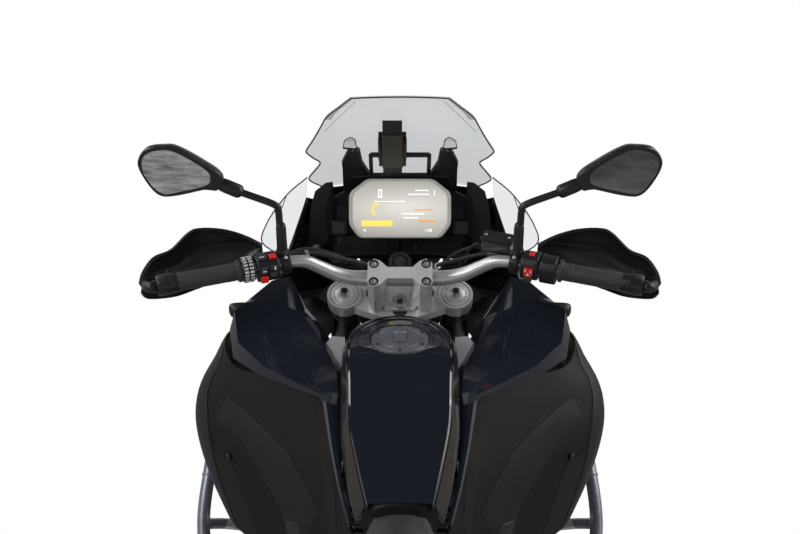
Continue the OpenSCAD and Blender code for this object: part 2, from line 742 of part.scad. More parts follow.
// Round lying in the frame's side plate
module plate_round(y, z, r, sides = 24) {
  translate([plate_x, y, z]) rotate([0, 90, 0]) cylinder(r = r, h = plate_w, $fn = sides);
}
module frame() {
  // Cross bars: how far forward, how high and their half length
  cross_bars = [
    [240, tank_floor - 9 - seat_gap, 136], [shock_top.y, shock_top.z + 25 + seat_gap, 119],
    [-480, 834, 116], [-760, 876, 104], [-896, 896, 88]
  ];
  color("#2d2e31") {
    both() {
      tube(smooth(spar_path, 2), spar_r, 10, [1, 0, 0]);
      tube(smooth(down_path, 2), 13, 8, [1, 0, 0]);
      tube(smooth(seat_path, 2), 12, 8, [1, 0, 0]);
      tube(brace_path, 10, 8, [1, 0, 0]);
      hull() {
        plate_round(pivot_y, pivot_z, 44);
        plate_round(-150, 530, 26);
        plate_round(stand_pivot_y, stand_pivot_z + 40, 20);
      }
      hull() {
        plate_round(stand_pivot_y, stand_pivot_z, 18);
        plate_round(stand_pivot_y, stand_pivot_z + 60, 18);
      }
      hull() {
        translate([104, 290, 820]) sphere(r = 18, $fn = 12);
        translate([60, 335, 846]) sphere(r = 18, $fn = 12);
      }
    }
    for (p = cross_bars)
      hull() translate([-p[2], p[0], p[1]]) rotate([0, 90, 0]) cylinder(r = 9, h = 2 * p[2], $fn = 12);
    hull() translate([-130, -150, 545]) rotate([0, 90, 0]) cylinder(r = 14, h = 260, $fn = 12);
    // Gusset that joins the spars to the steering head
    hull() steer() translate([-34, -head_r - 22, head_z0 + 12]) cube([68, 22, 90]);
    // Boss for the side stand
    mirror([1, 0, 0]) {
      hull() plate_round(side_pivot.y, side_pivot.z, 16);
      hull() {
        plate_round(side_pivot.y, side_pivot.z, 10, 12);
        plate_round(pivot_y, pivot_z - 60, 16, 12);
      }
    }
  }
}

// Engine
head_lean = 12;
head_y = 218;
head_z = 536;
case_half = 105;
function deck(y) = head_z - (y - head_y) * tan(head_lean) - fit;
function head_pt(y, z) =
  [head_y + y * cos(head_lean) + z * sin(head_lean), head_z - y * sin(head_lean) + z * cos(head_lean)];
module crankcase() {
  outline = [
    [-36, 528], [60, 528], [110, deck(110)], [314, deck(314)], [332, 440],
    [300, 330], [240, 262], [60, 236], [-36, 243]
  ];
  rear_outline = [[-160, 330], [-120, 500], [-60, 528], [-30, 528], [-30, 243], [-100, 250]];
  color("#57595d") {
    slab(-case_half, case_half) polygon(outline);
    slab(-80, case_half) polygon(rear_outline);
    // Output shaft and front sprocket
    translate([-79, pinion_y, pinion_z]) rotate([0, -90, 0]) cylinder(r = 12, h = 23);
    translate([chain_x + 3, pinion_y, pinion_z]) rotate([0, -90, 0]) cylinder(r = pinion_r - 8, h = 6);
    // Clutch cover on the right, generator cover on the left
    for (c = [[case_half, 60, 400, 96, 34], [case_half, 200, 360, 62, 22]])
      translate([c[0], c[1], c[2]]) rotate([0, 90, 0]) cylinder(r = c[3], h = c[4]);
    for (c = [[-case_half, 190, 372, 84, 36], [-case_half, 20, 420, 46, 18]])
      translate([c[0], c[1], c[2]]) rotate([0, -90, 0]) cylinder(r = c[3], h = c[4]);
    translate([case_half + 34, 60, 400]) rotate([0, 90, 0]) cylinder(r = 60, h = 6);
    translate([-case_half - 36, 190, 372]) rotate([0, -90, 0]) cylinder(r = 52, h = 6);
    // Oil filter at the front
    translate([0, 300, 392]) rotate([-90, 0, 0]) cylinder(r = 36, h = 58);
    // Sump
    translate([-92, -60, 192]) cube([104, 270, 60]);
  }
}
module cylinder_head() {
  color("#6b6d71")
    translate([0, head_y, head_z]) rotate([-head_lean, 0, 0]) {
      for (k = [0:5]) translate([-104, -92, 8 + 22 * k]) cube([208, 184, 12]);
      translate([-98, -86, 0]) cube([196, 172, 140]);
      translate([-110, -94, 140]) cube([220, 188, 62]);
      translate([-106, -86, 202]) cube([212, 172, 22]);
      for (s = [-1, 1]) translate([s * 52, 94, 160]) rotate([-90, 0, 0]) cylinder(r = 26, h = 12);
      for (s = [-1, 1]) translate([s * 52, -94, 166]) rotate([90, 0, 0]) cylinder(r = 27, h = 70);
    }
}
port_x = 52;
port = head_pt(106 + seat_gap, 160);
port_out = head_pt(126, 160);
left_pipe = [[-50, 416, 590], [-38, 408, 450], [0, 360, 310], [30, 296, 232], [42, 216, 200]];
right_pipe = [[56, 416, 590], [66, 408, 450], [78, 360, 310], [84, 296, 232], [84, 216, 200]];
mid_path = [
  [64, 214, 198], [62, 40, 196], [62, -90, 196], [64, -172, 216], [68, -236, 278], [98, -296, 336],
  [156, -360, 354], [198, -430, 398], [206, -500, 440]
];
silencer_path = [
  [206, -492, 438], [208, -540, 458], [210, -620, 486], [212, -940, 600], [213, -1010, 625], [213, -1022, 629]
];
// Where the lower radiator mounts and the frame's down tubes meet
down_seat = [126, 304.2, 728];
module exhaust() {
  color("#8d8a84") {
    for (side = [[-port_x, left_pipe], [port_x, right_pipe]])
      tube(
        concat([[side[0], port.x, port.y]], smooth(concat([[side[0], port_out.x, port_out.y]], side[1]), 2)),
        20, 10, [1, 0, 0]
      );
    tube(smooth(mid_path, 2), 26, 10, [1, 0, 0]);
    for (k = [0:6])
      hull() translate([42 + 7 * k, 232, 200]) rotate([90, 0, 0]) cylinder(r = 24, h = 44, $fn = 12);
    tube(silencer_path, [30, 52, 60, 60, 54, 40], 16, [1, 0, 0]);
    tube([[212, -1016, 627], [213, -1046, 638]], 24, 12, [1, 0, 0]);
    // Hanger up to the subframe
    hull() {
      translate([144, -600, 480]) rotate([0, 90, 0]) cylinder(r = 16, h = 20, $fn = 12);
      translate([121, -560, 819]) rotate([0, 90, 0]) cylinder(r = 12, h = 7, $fn = 12);
    }
  }
}
module radiator() {
  color("#2b2c2e") steer() {
    difference() {
      translate([-150, -118, 722]) cube([300, 34, 176]);
      translate([-128, -95, 734]) cube([256, 20, 152]);
    }
    for (k = [0:14]) translate([-128, -95, 736 + 10 * k]) cube([256, 8, 2]);
    for (s = [-1, 1]) translate([s * 139, -101, 716]) cylinder(r = 15, h = 188);
  }
  color("#2b2c2e") both() rod([122, 400, 728], down_seat, 7);
}
module bash_plate() {
  color("#8e9195") {
    profile = [
      [-160, 142], [240, 142], [330, 168], [432, 300], [440, 300], [440, 312], [428, 308],
      [326, 178], [238, 150], [-160, 150]
    ];
    cheek = [
      [-160, 146], [240, 146], [328, 172], [432, 304], [400, 320], [300, 250], [220, 196], [-160, 186]
    ];
    slab(-128, 128) polygon(profile);
    for (y = [-20, 170]) translate([-60, y, 148]) cylinder(r = 12, h = 192 - seat_gap - 148);
    for (s = [-1, 1])
      slab(s > 0 ? 122 : -128, s > 0 ? 128 : -122) polygon(cheek);
  }
}

// Tank and bodywork
cap_mid = [0, 225, 1023.5];
cap_tilt = -5.7;
// Rows of the cover: how far forward, half width at the crease, height, skirt outward and skirt down
cover_rows = concat(
  [for (a = [76, 56, 36, 18, 0]) [
    cap_mid.y + 96 * sin(a), 92 * cos(a), cap_mid.z - 96 * sin(a) * 0.1 - (a > 60 ? 4 : 0),
    2 + 7 * cos(a), 24
  ]],
  [
    [165, 91, 1029.5, 9, 24], [112, 88, 1014, 12, 30], [40, 84, 984, 14, 36], [-30, 69, 950, 16, 42],
    [-88, 54, 921, 16, 42]
  ]
);
// Columns of the cover: share of the half width, share of the skirt, height lost before the crease
cover_cols = [
  [-1, 1, 5], [-1, 0, 5], [-0.86, 0, 1.5], [-0.5, 0, 0.4], [0, 0, 0],
  [0.5, 0, 0.4], [0.86, 0, 1.5], [1, 0, 5], [1, 1, 5]
];
module in_cap() {
  translate(cap_mid) rotate([cap_tilt, 0, 0]) children();
}
module tank_cover() {
  color("#14161c")
    difference() {
      panel([for (q = cover_rows) [for (c = cover_cols)
        [c[0] * (q[1] + c[1] * q[3]), q[0], q[2] - c[2] - c[1] * (q[4] - c[2])]]], panel_t);
      in_cap() translate([0, 0, -30]) cylinder(r = cap_r + 6, h = 60);
    }
}
tank_floor = 812;
module fuel_tank() {
  inset = panel_t + 2;
  color("#17181b")
    difference() {
      skin([for (k = [1:len(cover_rows) - 1])
        let (q = cover_rows[k], w = q[1] - inset, top = q[2] - panel_t - 0.7)
        [
          [-w, q[0], tank_floor], [-w, q[0], top - 20], [-w * 0.84, q[0], top - 9],
          [-w * 0.48, q[0], top - 2.2], [0, q[0], top],
          [w * 0.48, q[0], top - 2.2], [w * 0.84, q[0], top - 9], [w, q[0], top - 20], [w, q[0], tank_floor]
        ]]);
      in_cap() translate([0, 0, -14]) cylinder(r = cap_r + 6, h = 40);
      in_cap() translate([0, 0, -70]) cylinder(r = 24, h = 80);
    }
}
module filler_cap() {
  color("#74767a") in_cap() {
    difference() {
      union() {
        translate([0, 0, -14 + seat_gap]) cylinder(r = cap_r, h = 16);
        translate([0, 0, 2]) cylinder(r = cap_r - 14, h = 1.5);
      }
      for (k = [0:5]) rotate(60 * k + 30) translate([cap_r - 8, 0, 0]) cylinder(r = 3, h = 5);
    }
    translate([-9, -22, 3.5]) cube([18, 12, 3]);
  }
}
// Glossy shoulders: rows run from the inner edge outward, columns from the front back
shoulder_rows = [
  [[186, 392, 985], [206, 420, 1017], [214, 428, 1031], [247, 428, 1022], [262, 430, 995]],
  [[150, 352, 962], [186, 345, 999], [226, 352, 1018], [312, 352, 1000], [322, 348, 962]],
  [[122, 302, 946], [150, 290, 976], [206, 290, 990], [300, 290, 972], [309, 288, 940]],
  [[104, 250, 950], [126, 235, 972], [180, 225, 976], [248, 222, 966], [254, 220, 950]],
  [[105, 180, 978], [112, 170, 984], [140, 165, 982], [190, 168, 972], [194, 170, 962]],
  [[106, 116, 976], [109, 114, 984], [116, 112, 987], [134, 122, 980], [138, 128, 972]],
  [[106, 90, 962], [110, 92, 965], [117, 96, 968], [126, 101, 969], [130, 105, 966]],
  [[103, 20, 926], [105, 22, 928], [108, 25, 932], [112, 28, 934], [114, 30, 932]],
  [[91, -38, 894], [92, -36, 895], [94, -34, 896], [97, -31, 898], [99, -30, 896]],
  [[76, -88, 866], [77, -87, 868], [79, -86, 870], [81, -85, 872], [83, -84, 870]]
];
module shoulder_panels() {
  color("#0b0c0f")
    both() panel(shoulder_rows, -panel_t);
}
side_rows = [
  [[84, -86, 866], [79, -84, 852], [76, -86, 826], [75, -88, 798], [76, -90, 770]],
  [[115, 30, 928], [110, 14, 900], [107, -10, 862], [105, -30, 816], [106, -44, 770]],
  [[136, 124, 966], [124, 84, 920], [120, 40, 866], [120, 0, 805], [124, -30, 740]],
  [[222, 202, 956], [232, 170, 900], [226, 116, 820], [208, 66, 740], [190, 24, 680]],
  [[308, 268, 937], [364, 276, 880], [381, 252, 812], [362, 218, 724], [316, 160, 645]],
  [[334, 342, 946], [366, 342, 884], [370, 335, 792], [338, 305, 700], [292, 236, 650]],
  [[306, 402, 960], [330, 444, 880], [316, 448, 790], [290, 420, 706], [262, 352, 656]]
];
module side_panels() {
  color("#1e1e1f") both() {
    translate([0, 0, -1.6]) panel(smooth(side_rows, 2), -panel_t);
    translate([74.4, 16, 880]) rotate([0, 90, 0]) cylinder(r = 5, h = 36);
  }
}
seat_rows = [
  [-92, 50, 916, 884], [-130, 66, 899, 862], [-200, 96, 882, 846], [-300, 134, 874, 838],
  [-420, 152, 880, 848], [-478, 152, 905, 856], [-520, 148, 930, 866], [-620, 140, 940, 876],
  [-760, 126, 944, 900], [-838, 96, 940, 914]
];
module seat() {
  color("#161617")
    skin([for (q = seat_rows) let (w = q[1], t = q[2], b = q[3], h = t - b)
      [
        [-w * 0.9, q[0], b], [-w, q[0], b + h * 0.3], [-w * 0.97, q[0], b + h * 0.7],
        [-w * 0.8, q[0], t - h * 0.12], [-w * 0.4, q[0], t - 1], [0, q[0], t], [w * 0.4, q[0], t - 1],
        [w * 0.8, q[0], t - h * 0.12], [w * 0.97, q[0], b + h * 0.7], [w, q[0], b + h * 0.3],
        [w * 0.9, q[0], b]
      ]]);
  color("#161617") both() translate([114, -600, 871.4]) cylinder(r = 8, h = 12);
}

// Screen, cockpit and front
screen_top = [0, 458, 1393];
screen_run = [0, 202, -266];
// Share down the screen and half width there
screen_outline = [
  [0, 89], [0.08, 108], [0.17, 134], [0.36, 158], [0.53, 180], [0.62, 172], [0.68, 160], [0.78, 170],
  [0.87, 184], [1, 160]
];
screen_normal = unit([0, 266, 202]);
function screen_pt(t, x) = screen_top + t * screen_run + [x, -28 * pow(x / 180, 2), 0];
deflector_rows = [
  [[190, 612, 1158], [228, 614, 1124], [256, 616, 1088]],
  [[195, 606, 1112], [240, 610, 1080], [280, 612, 1056]],
  [[202, 602, 1060], [246, 604, 1036], [290, 606, 1012]],
  [[217, 594, 1000], [228, 595, 990], [242, 597, 982]]
];
module windscreen() {
  color([0.85, 0.88, 0.9, 0.35]) {
    panel([for (q = screen_outline) [for (u = [-1:0.25:1]) screen_pt(q[0], q[1] * u)]], screen_t);
    both() panel(deflector_rows, -screen_t);
  }
}
display_mid = [0, 530, 1131];
display_lean = 60;
display_outline = [[68, 59], [96, 33], [100, 26], [100, -31], [80, -59]];
module display() {
  outline = concat(display_outline, [for (p = turned(display_outline)) [-p.x, p.y]]);
  color("#1a1a1c")
    translate(display_mid) rotate([display_lean, 0, 0])
      difference() {
        translate([0, 0, -26]) linear_extrude(28) polygon(outline);
        linear_extrude(5) polygon([for (p = outline) p * 0.91]);
      }
  color("#c9c3b0")
    translate(display_mid) rotate([display_lean, 0, 0])
      linear_extrude(0.8) polygon([for (p = outline) p * 0.905]);
}
// Plate behind each lower corner of the screen, drawn across and up its own slope
bracket_outline = [
  [113.7, 35.7], [114.6, 48], [102.5, 80.5], [86.1, 90.4], [78.3, 84.5], [74, 48], [58.6, 10.6], [70, -6.4],
  [98.8, -41], [102.5, -67.5], [115, -27.9]
];
bracket_mid = [0, 590, 1170];
bracket_lean = 24.4;
cross_bar = [98, 582, 1178];
carrier_bar = [57, 545, 1240];
// Distance from a point straight out to the back of the screen
function screen_dist(p) = screen_normal * (screen_top - p) - 28 * pow(p.x / 180, 2) * screen_normal.y;
module cockpit() {
  wall_x = [-136, -60, 0, 60, 136];
  color("#202226") {
    // Side horns and the back wall of the cockpit
    both()
      panel([
        [[136, 600, 1156], [134, 600, 1100], [136, 596, 1030]],
        [[150, 598, 1155], [152, 592, 1104], [152, 584, 1024]],
        [[172, 594, 1138], [182, 588, 1104], [190, 574, 1024]]
      ], panel_t);
    panel([for (x = wall_x) let (top = abs(x) > 100 ? 1120 : 1166)
      [[x, 604, top], [x, 606, 1100], [x, 596, 1020], [x, 560, 1000]]], panel_t);
    // Stalk that carries the display
    translate(display_mid) rotate([display_lean, 0, 0]) translate([-30, -22, -76]) cube([60, 44, 50]);
    both() {
      translate(bracket_mid) rotate([90 + bracket_lean, 0, 0])
        linear_extrude(8, center = true) polygon(bracket_outline);
      rod([57, cross_bar.y, cross_bar.z], carrier_bar, 4);
      for (p = [[97, 552, 1240], [106, 572, 1200]]) rod(p, p + (screen_dist(p) - 1.5) * screen_normal, 6);
    }
    rod([-cross_bar.x, cross_bar.y, cross_bar.z], cross_bar, 6);
    // Cross rail with the bare carrier for a navigation unit
    rod(flip(carrier_bar), carrier_bar, 5);
    translate([-33, 556, 1196]) rotate([28, 0, 0]) {
      cube([37, 16, 142]);
      translate([-8, 6, 14]) cube([53, 9, 96]);
    }
  }
}
fairing_rows = [
  [[112, 712, 1040], [120, 716, 980], [116, 712, 900]],
  [[150, 660, 1078], [166, 664, 985], [152, 656, 884]],
  [[188, 604, 1118], [206, 596, 1000], [194, 588, 870]],
  [[212, 520, 1066], [240, 510, 980], [226, 500, 880]],
  [[236, 440, 1014], [268, 436, 960], [262, 430, 884]]
];
beak_rows = [
  [576, 97, 926, 40], [640, 104, 908, 44], [760, 92, 884, 40], [880, 70, 860, 34], [970, 44, 838, 26],
  [1010, 20, 826, 16]
];
module front_fairing() {
  color("#101114") {
    both() panel(fairing_rows, -panel_t);
    panel([for (x = [-158, -75, 0, 75, 158]) [[x, 664 + 40 * (1 - pow(x / 158, 2)), 1070],
      [x, 640 + 20 * (1 - pow(x / 158, 2)), 1120]]], panel_t);
  }
  color("#0b0c0f") {
    both() translate([40, 660, 899]) cylinder(r = 7, h = 32.6 - seat_gap);
    panel([for (q = beak_rows) [for (u = [-1, -0.8, -0.3, 0, 0.3, 0.8, 1])
      [q[1] * u, q[0], q[2] - q[3] * pow(abs(u), 3)]]], -panel_t);
  }
}
module headlight() {
  face = [
    [-104, 1036], [-110, 980], [-86, 928], [86, 928], [110, 980], [104, 1036], [60, 1062], [-60, 1062]
  ];
  color("#dfe4e8") {
    skin([for (q = [[724, 0.9], [706, 1], [640, 0.9], [610, 0.6]])
      [for (p = face)
        [p[0] * q[1], q[0], 985 + (p[1] - 985) * q[1]]]]);
  }
}

// Guards, rack and rider's gear
crash_path = [
  [168.5, 236, 790], [236, 400, 806], [322, 474, 786], [372, 430, 700], [392, 330, 620], [398, 252, 540],
  [372, 170, 450], [296, 130, 362], [206, 160, 296], [150, 214, 273], [119, 250, 284]
];
crash_brace = [[398, 262, 550], [330, 330, 480], [210, 340, 410], [143.5, 305, 382]];
module crash_bars() {
  color("#a4a6a9")
    both() {
      tube(smooth(crash_path, 2), crash_r, 10, [0.3, 1, 0]);
      tube(smooth(crash_brace, 2), crash_r - 2, 10, [0, 0, 1]);
      for (k = [0:3])
        hull() translate([case_half + seat_gap + 2 * k, 250, 284]) rotate([0, 90, 0])
          cylinder(r = 16, h = 10, $fn = 16);
    }
}
peg_x = plate_x + plate_w + seat_gap;
peg_y = -76;
peg_z = 316;
module footpegs() {
  color("#8a8c90") {
    both() {
      translate([peg_x + 6, peg_y - 22, peg_z - 14]) cube([22, 44, 28]);
      translate([peg_x + 28, peg_y - 24, peg_z - 6]) cube([88, 48, 5]);
      for (k = [0:8]) translate([peg_x + 31 + 10 * k, peg_y - 24, peg_z - 1]) cube([3, 48, 8]);
      slab(peg_x, peg_x + 6)
        polygon([
          [pivot_y - 20, pivot_z], [pivot_y + 20, pivot_z], [peg_y + 22, peg_z + 14],
          [peg_y + 22, peg_z - 14], [peg_y - 40, peg_z - 8]
        ]);
      slab(138.4, 146) polygon([[-290, 618], [-420, 522], [-446, 486], [-412, 484], [-280, 580]]);
      translate([144, -429, 500]) rotate([0, 90, 0]) cylinder(r = 11, h = 88);
    }
    // Gear lever on the left, brake pedal on the right
    mirror([1, 0, 0]) {
      rod([peg_x + 12, peg_y, peg_z - 12], [peg_x + 24, 74, peg_z - 6], 6);
      rod([peg_x + 16, 74, peg_z - 6], [peg_x + 66, 74, peg_z - 6], 8);
    }
    rod([peg_x + 12, peg_y, peg_z - 12], [peg_x + 20, 74, peg_z - 8], 7);
    translate([peg_x + 8, 66, peg_z - 14]) cube([44, 26, 10]);
  }
}
rack_y0 = -790;
rack_y1 = -1064;
rack_z = 966;
module luggage_rack() {
  color("#2b2c2e") {
    difference() {
      translate([-104, rack_y1 + 20, rack_z - 5]) cube([208, 190, 10]);
      for (x = [-70, 70], y = [rack_y1 + 45, rack_y1 + 185])
        translate([x, y, rack_z - 8]) cylinder(r = 4.5, h = 16);
      for (x = [-34, 34]) translate([x - 16, rack_y1 + 70, rack_z - 8]) cube([32, 90, 16]);
    }
  }
  color("#2b2c2e")
    both() {
      translate([121.2, -752, 879]) rotate([0, 90, 0]) cylinder(r = 10, h = 24);
      translate([94, -885, 911]) cylinder(r = 9, h = rack_z - 912);
      tube(smooth([
        [139, rack_y0 + 42, rack_z - 84], [150, rack_y0 + 14, rack_z - 30], [152, rack_y0 - 60, rack_z],
        [140, rack_y1 + 60, rack_z], [110, rack_y1 + 14, rack_z]
      ], 3), rack_d / 2, 10, [1, 0, 0]);
      translate([104.3, rack_y1 + 110, rack_z - 5]) cube([36, 20, 10]);
    }
}
module tail_unit() {
  guard_end = tail_y + 112.5;
  carrier_y = tail_y + 102.5;
  guard_path = [
    [-560, 70, 812], [-700, 80, 826], [-860, 76, 850], [mix(-860, guard_end, 0.55), 62, 850],
    [guard_end, 50, 838]
  ];
  color("#17181a") {
    // Inner mudguard under the seat and out to the tail
    panel([for (q = guard_path)
      [for (u = [-1, -0.7, 0, 0.7, 1]) [q[1] * u, q[0], q[2] - 18 * pow(abs(u), 3)]]], -panel_t);
    both() {
      translate([34, -760, 832]) cylinder(r = 8, h = 867 - seat_gap - 832);
      translate([34, -896, 848]) cylinder(r = 8, h = 887 - seat_gap - 848);
      translate([126, -620, 853]) rotate([0, 90, 0]) cylinder(r = 7, h = 16);
    }
    // Side covers of the tail
    both()
      panel([
        [[140, -420, 838], [139, -420, 790], [139, -430, 744]],
        [[148, -560, 858], [146, -560, 820], [134, -540, 780]],
        [[136, -740, 866], [134, -740, 848], [126, -720, 830]],
        [[112, -880, 884], [110, -884, 872], [104, -880, 862]]
      ], -panel_t);
    // Hanger and blank plate carrier
    translate([-30, carrier_y, 836]) cube([60, 30, 12]);
    hull() {
      translate([-28, carrier_y, 830]) cube([56, 24, 8]);
      translate([-26, tail_y + 30.5, 700]) cube([52, 18, 8]);
    }
    hull() {
      translate([-95, tail_y + 16, 716]) rotate([14, 0, 0]) cube([190, 3, 3]);
      translate([-95, tail_y, 610]) cube([190, 3, 3]);
    }
    translate([-40, tail_y + 10, 690]) cube([80, 40, 12]);
  }
}
// Lamp of an indicator, rounded toward the bike's middle
module indicator(back) {
  hull() {
    rotate([90, 0, 0]) cylinder(r = 17, h = 8, center = true, $fn = 20);
    translate([20, 0, 0]) rotate([90, 0, 0]) cylinder(r = 14, h = 8, center = true, $fn = 20);
    translate([2, back, 0]) sphere(r = 12, $fn = 12);
  }
}
module lamps() {
  color("#a01414")
    translate([0, tail_y, 0])
      slab(-62, 62) polygon([[78.5, 868], [116.5, 876], [118.5, 848.4], [82.5, 848.4]]);
  color("#d9822b")
    both() {
      translate([28.4, tail_y + 104.5, 829.6]) rotate([0, 90, 0]) cylinder(r = 6, h = 86);
      translate([112, tail_y + 92.5, 830]) indicator(16);
    }
  color("#d9822b")
    both() {
      rod([256, 468, 920], [300, 482, 920], 6);
      translate([312, 488, 920]) indicator(-14);
    }
}

// Swingarm, shock absorber and rear brake
function arm_mid(t) = [mix(pivot_y, rear_y, t), mix(pivot_z, rear_z, t)];
module swingarm() {
  color("#9fa1a4")
    difference() {
      union() {
        for (s = [-1, 1])
          slab(s * arm_x - arm_w / 2, s * arm_x + arm_w / 2) {
            polygon([
              [pivot_y + 4, pivot_z + 30], [pivot_y - 120, pivot_z + 22], arm_mid(0.55) + [0, 40],
              arm_mid(0.88) + [0, 30], [rear_y - 34, rear_z + 24], [rear_y - 60, rear_z + 18],
              [rear_y - 60, rear_z - 18], [rear_y - 20, rear_z - 26], arm_mid(0.6) + [0, -26],
              [pivot_y - 80, pivot_z - 40], [pivot_y + 4, pivot_z - 30]
            ]);
            translate([pivot_y, pivot_z]) circle(r = 30);
          }
        translate([-arm_x, pivot_y, pivot_z]) rotate([0, 90, 0]) cylinder(r = 30, h = 2 * arm_x);
        translate([-arm_x, pivot_y - 150, pivot_z - 42]) cube([2 * arm_x, 70, 64]);
        for (s = [-1, 1]) translate([s * 23.3 - 5, shock_foot.y - 16, pivot_z + 20]) cube([10, 32, 44]);
      }
      translate([-200, rear_y, rear_z]) rotate([0, 90, 0]) cylinder(r = rear_axle_r + fit, h = 400);
      translate([-200, pivot_y, pivot_z]) rotate([0, 90, 0]) cylinder(r = 11, h = 400);
    }
  color("#77797c") {
    translate([-138, rear_y, rear_z]) rotate([0, 90, 0]) cylinder(r = rear_axle_r, h = 276);
    for (s = [-1, 1])
      translate([s * 131, rear_y, rear_z]) rotate([0, 90, 0]) cylinder(r = 17, h = 12, center = true);
  }
}
shock_top = [0, -236, 752];
shock_foot = [0, -300, 478];
module shock_absorber() {
  axis = unit(shock_foot - shock_top);
  turns = 7;
  color("#b3a13a")
    tube([for (k = [0:turns * 12])
      let (a = 30 * k, u = cross(axis, [1, 0, 0]), share = 0.255 + 0.571 * k / (turns * 12))
      mix(shock_top, shock_foot, share) + 34 * [cos(a), sin(a) * u.y, sin(a) * u.z]],
      6, 6, axis);
  color("#55575b") {
    rod(shock_top, shock_foot, 9);
    rod(mix(shock_top, shock_foot, 0.1), mix(shock_top, shock_foot, 0.56), 24);
    rod(mix(shock_top, shock_foot, 0.2), mix(shock_top, shock_foot, 0.235), 42);
    rod(mix(shock_top, shock_foot, 0.846), mix(shock_top, shock_foot, 0.88), 42);
    for (p = [shock_top, shock_foot]) translate(p) rotate([0, 90, 0]) cylinder(r = 16, h = 36, center = true);
  }
}
module rear_caliper() {
  color("#3a3b3e")
    difference() {
      translate([0.5, rear_y + 118, rear_z + 61.4])
        rotate([-28, 0, 0])
          slab(rear_disc_x - 16, rear_disc_x + 14)
            polygon([[-40, -24], [40, -24], [46, 0], [36, 28], [-36, 28], [-46, 0]]);
      translate([rear_disc_x - disc_t / 2 - 5, rear_y, rear_z])
        rotate([0, 90, 0]) cylinder(r = rear_disc_r + 6, h = disc_t + 10, $fn = 72);
    }
}

// Stands
stand_foot_y = -196;
stand_foot_x = 146;
module centre_stand() {
  color("#27282a") {
    both() {
      difference() {
        hull() {
          translate([stand_arm_x, stand_pivot_y, stand_pivot_z]) rotate([0, 90, 0])
            cylinder(r = 15, h = 16, $fn = 24);
          translate([132, stand_foot_y, 40]) cylinder(r = 14, h = 10, $fn = 16);
        }
        translate([stand_arm_x - 1, stand_pivot_y, stand_pivot_z]) rotate([0, 90, 0])
          cylinder(r = stand_bolt_r + fit, h = 40);
      }
      hull() {
        translate([132, stand_foot_y, 40]) cylinder(r = 14, h = 10, $fn = 16);
        translate([stand_foot_x - 20, stand_foot_y - 44, 0]) cube([40, 78, 7]);
      }
    }
    translate([-122, stand_foot_y - 12, 96]) rotate([0, 90, 0]) cylinder(r = 11, h = 244);
  }
}
side_len = 230;
module side_stand() {
  color("#27282a") {
    difference() {
      hull() {
        translate(side_pivot) rotate([0, 90, 0]) cylinder(r = 14, h = 12, center = true, $fn = 24);
        translate(side_pivot + [-14, -side_len * 0.5, -8]) sphere(r = 9, $fn = 12);
      }
      translate(side_pivot) rotate([0, 90, 0]) cylinder(r = stand_bolt_r + fit, h = 40, center = true);
    }
    hull() {
      translate(side_pivot + [-14, -side_len * 0.5, -8]) sphere(r = 9, $fn = 12);
      translate(side_pivot + [-28, -side_len, -12]) sphere(r = 9, $fn = 12);
    }
    translate(side_pivot + [-64, -side_len - 18, -28]) cube([44, 14, 44]);
  }
}

handlebar();
top_yoke();
bottom_yoke();
fork_tubes();
fork_stanchions();
front_axle();
front_mudguard();
front_calipers();
grips();
switchgear();
levers();
hand_guards();
mirrors();
mirror_glass();
brake_hoses();
front_tyre();
front_rim();
front_hub();
front_discs();
rear_tyre();
rear_rim();
rear_hub();
rear_disc();
rear_sprocket();
frame();
steering_head();
front_stay();
pivot_bolts();
crankcase();
cylinder_head();
exhaust();
radiator();
fuel_tank();
tank_cover();
shoulder_panels();
side_panels();
seat();
windscreen();
cockpit();
display();
front_fairing();
headlight();
bash_plate();
crash_bars();
footpegs();
luggage_rack();
tail_unit();
lamps();
swingarm();
shock_absorber();
rear_caliper();
drive_chain();
centre_stand();
side_stand();
filler_cap();
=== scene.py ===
"""Adventure motorcycle: materials, fine detail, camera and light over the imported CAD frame."""
import bmesh
import bpy
import math
from mathutils import Matrix, Vector
from mathutils.bvhtree import BVHTree


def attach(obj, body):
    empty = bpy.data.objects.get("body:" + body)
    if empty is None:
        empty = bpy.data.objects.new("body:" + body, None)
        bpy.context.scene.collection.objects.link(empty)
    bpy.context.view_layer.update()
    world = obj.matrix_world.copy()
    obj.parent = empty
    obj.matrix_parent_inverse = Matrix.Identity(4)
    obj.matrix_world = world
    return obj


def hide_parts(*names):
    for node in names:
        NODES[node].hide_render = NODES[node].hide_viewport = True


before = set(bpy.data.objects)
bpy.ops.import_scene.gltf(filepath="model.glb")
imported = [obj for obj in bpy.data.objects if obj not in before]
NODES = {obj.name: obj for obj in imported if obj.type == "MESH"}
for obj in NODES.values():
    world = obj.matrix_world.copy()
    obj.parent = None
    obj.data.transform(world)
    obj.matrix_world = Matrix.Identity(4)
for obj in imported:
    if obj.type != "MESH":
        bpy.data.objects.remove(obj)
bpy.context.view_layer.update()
MM = 0.001

# Camera and lights, in metres, degrees and watts
CAMERA_PLACE = (0.0, -1.432, 2.130)
CAMERA_TILT = 60.0
LENS = 50.0
SENSOR = 36.0
MIDDLE = (0, 0.2, 0.9)
COCKPIT_MIDDLE = (0, 0.3, 1.0)
LIGHTS = (
    ("key", (-2.6, -1.2, 3.4), MIDDLE, (2.2, 2.2), 55),
    ("side", (3.0, 0.3, 2.6), MIDDLE, (2.0, 2.6), 45),
    ("front_left", (-2.6, 1.8, 3.2), COCKPIT_MIDDLE, (1.6, 1.6), 34),
    ("front_right", (2.6, 1.8, 3.2), COCKPIT_MIDDLE, (1.6, 1.6), 34),
)

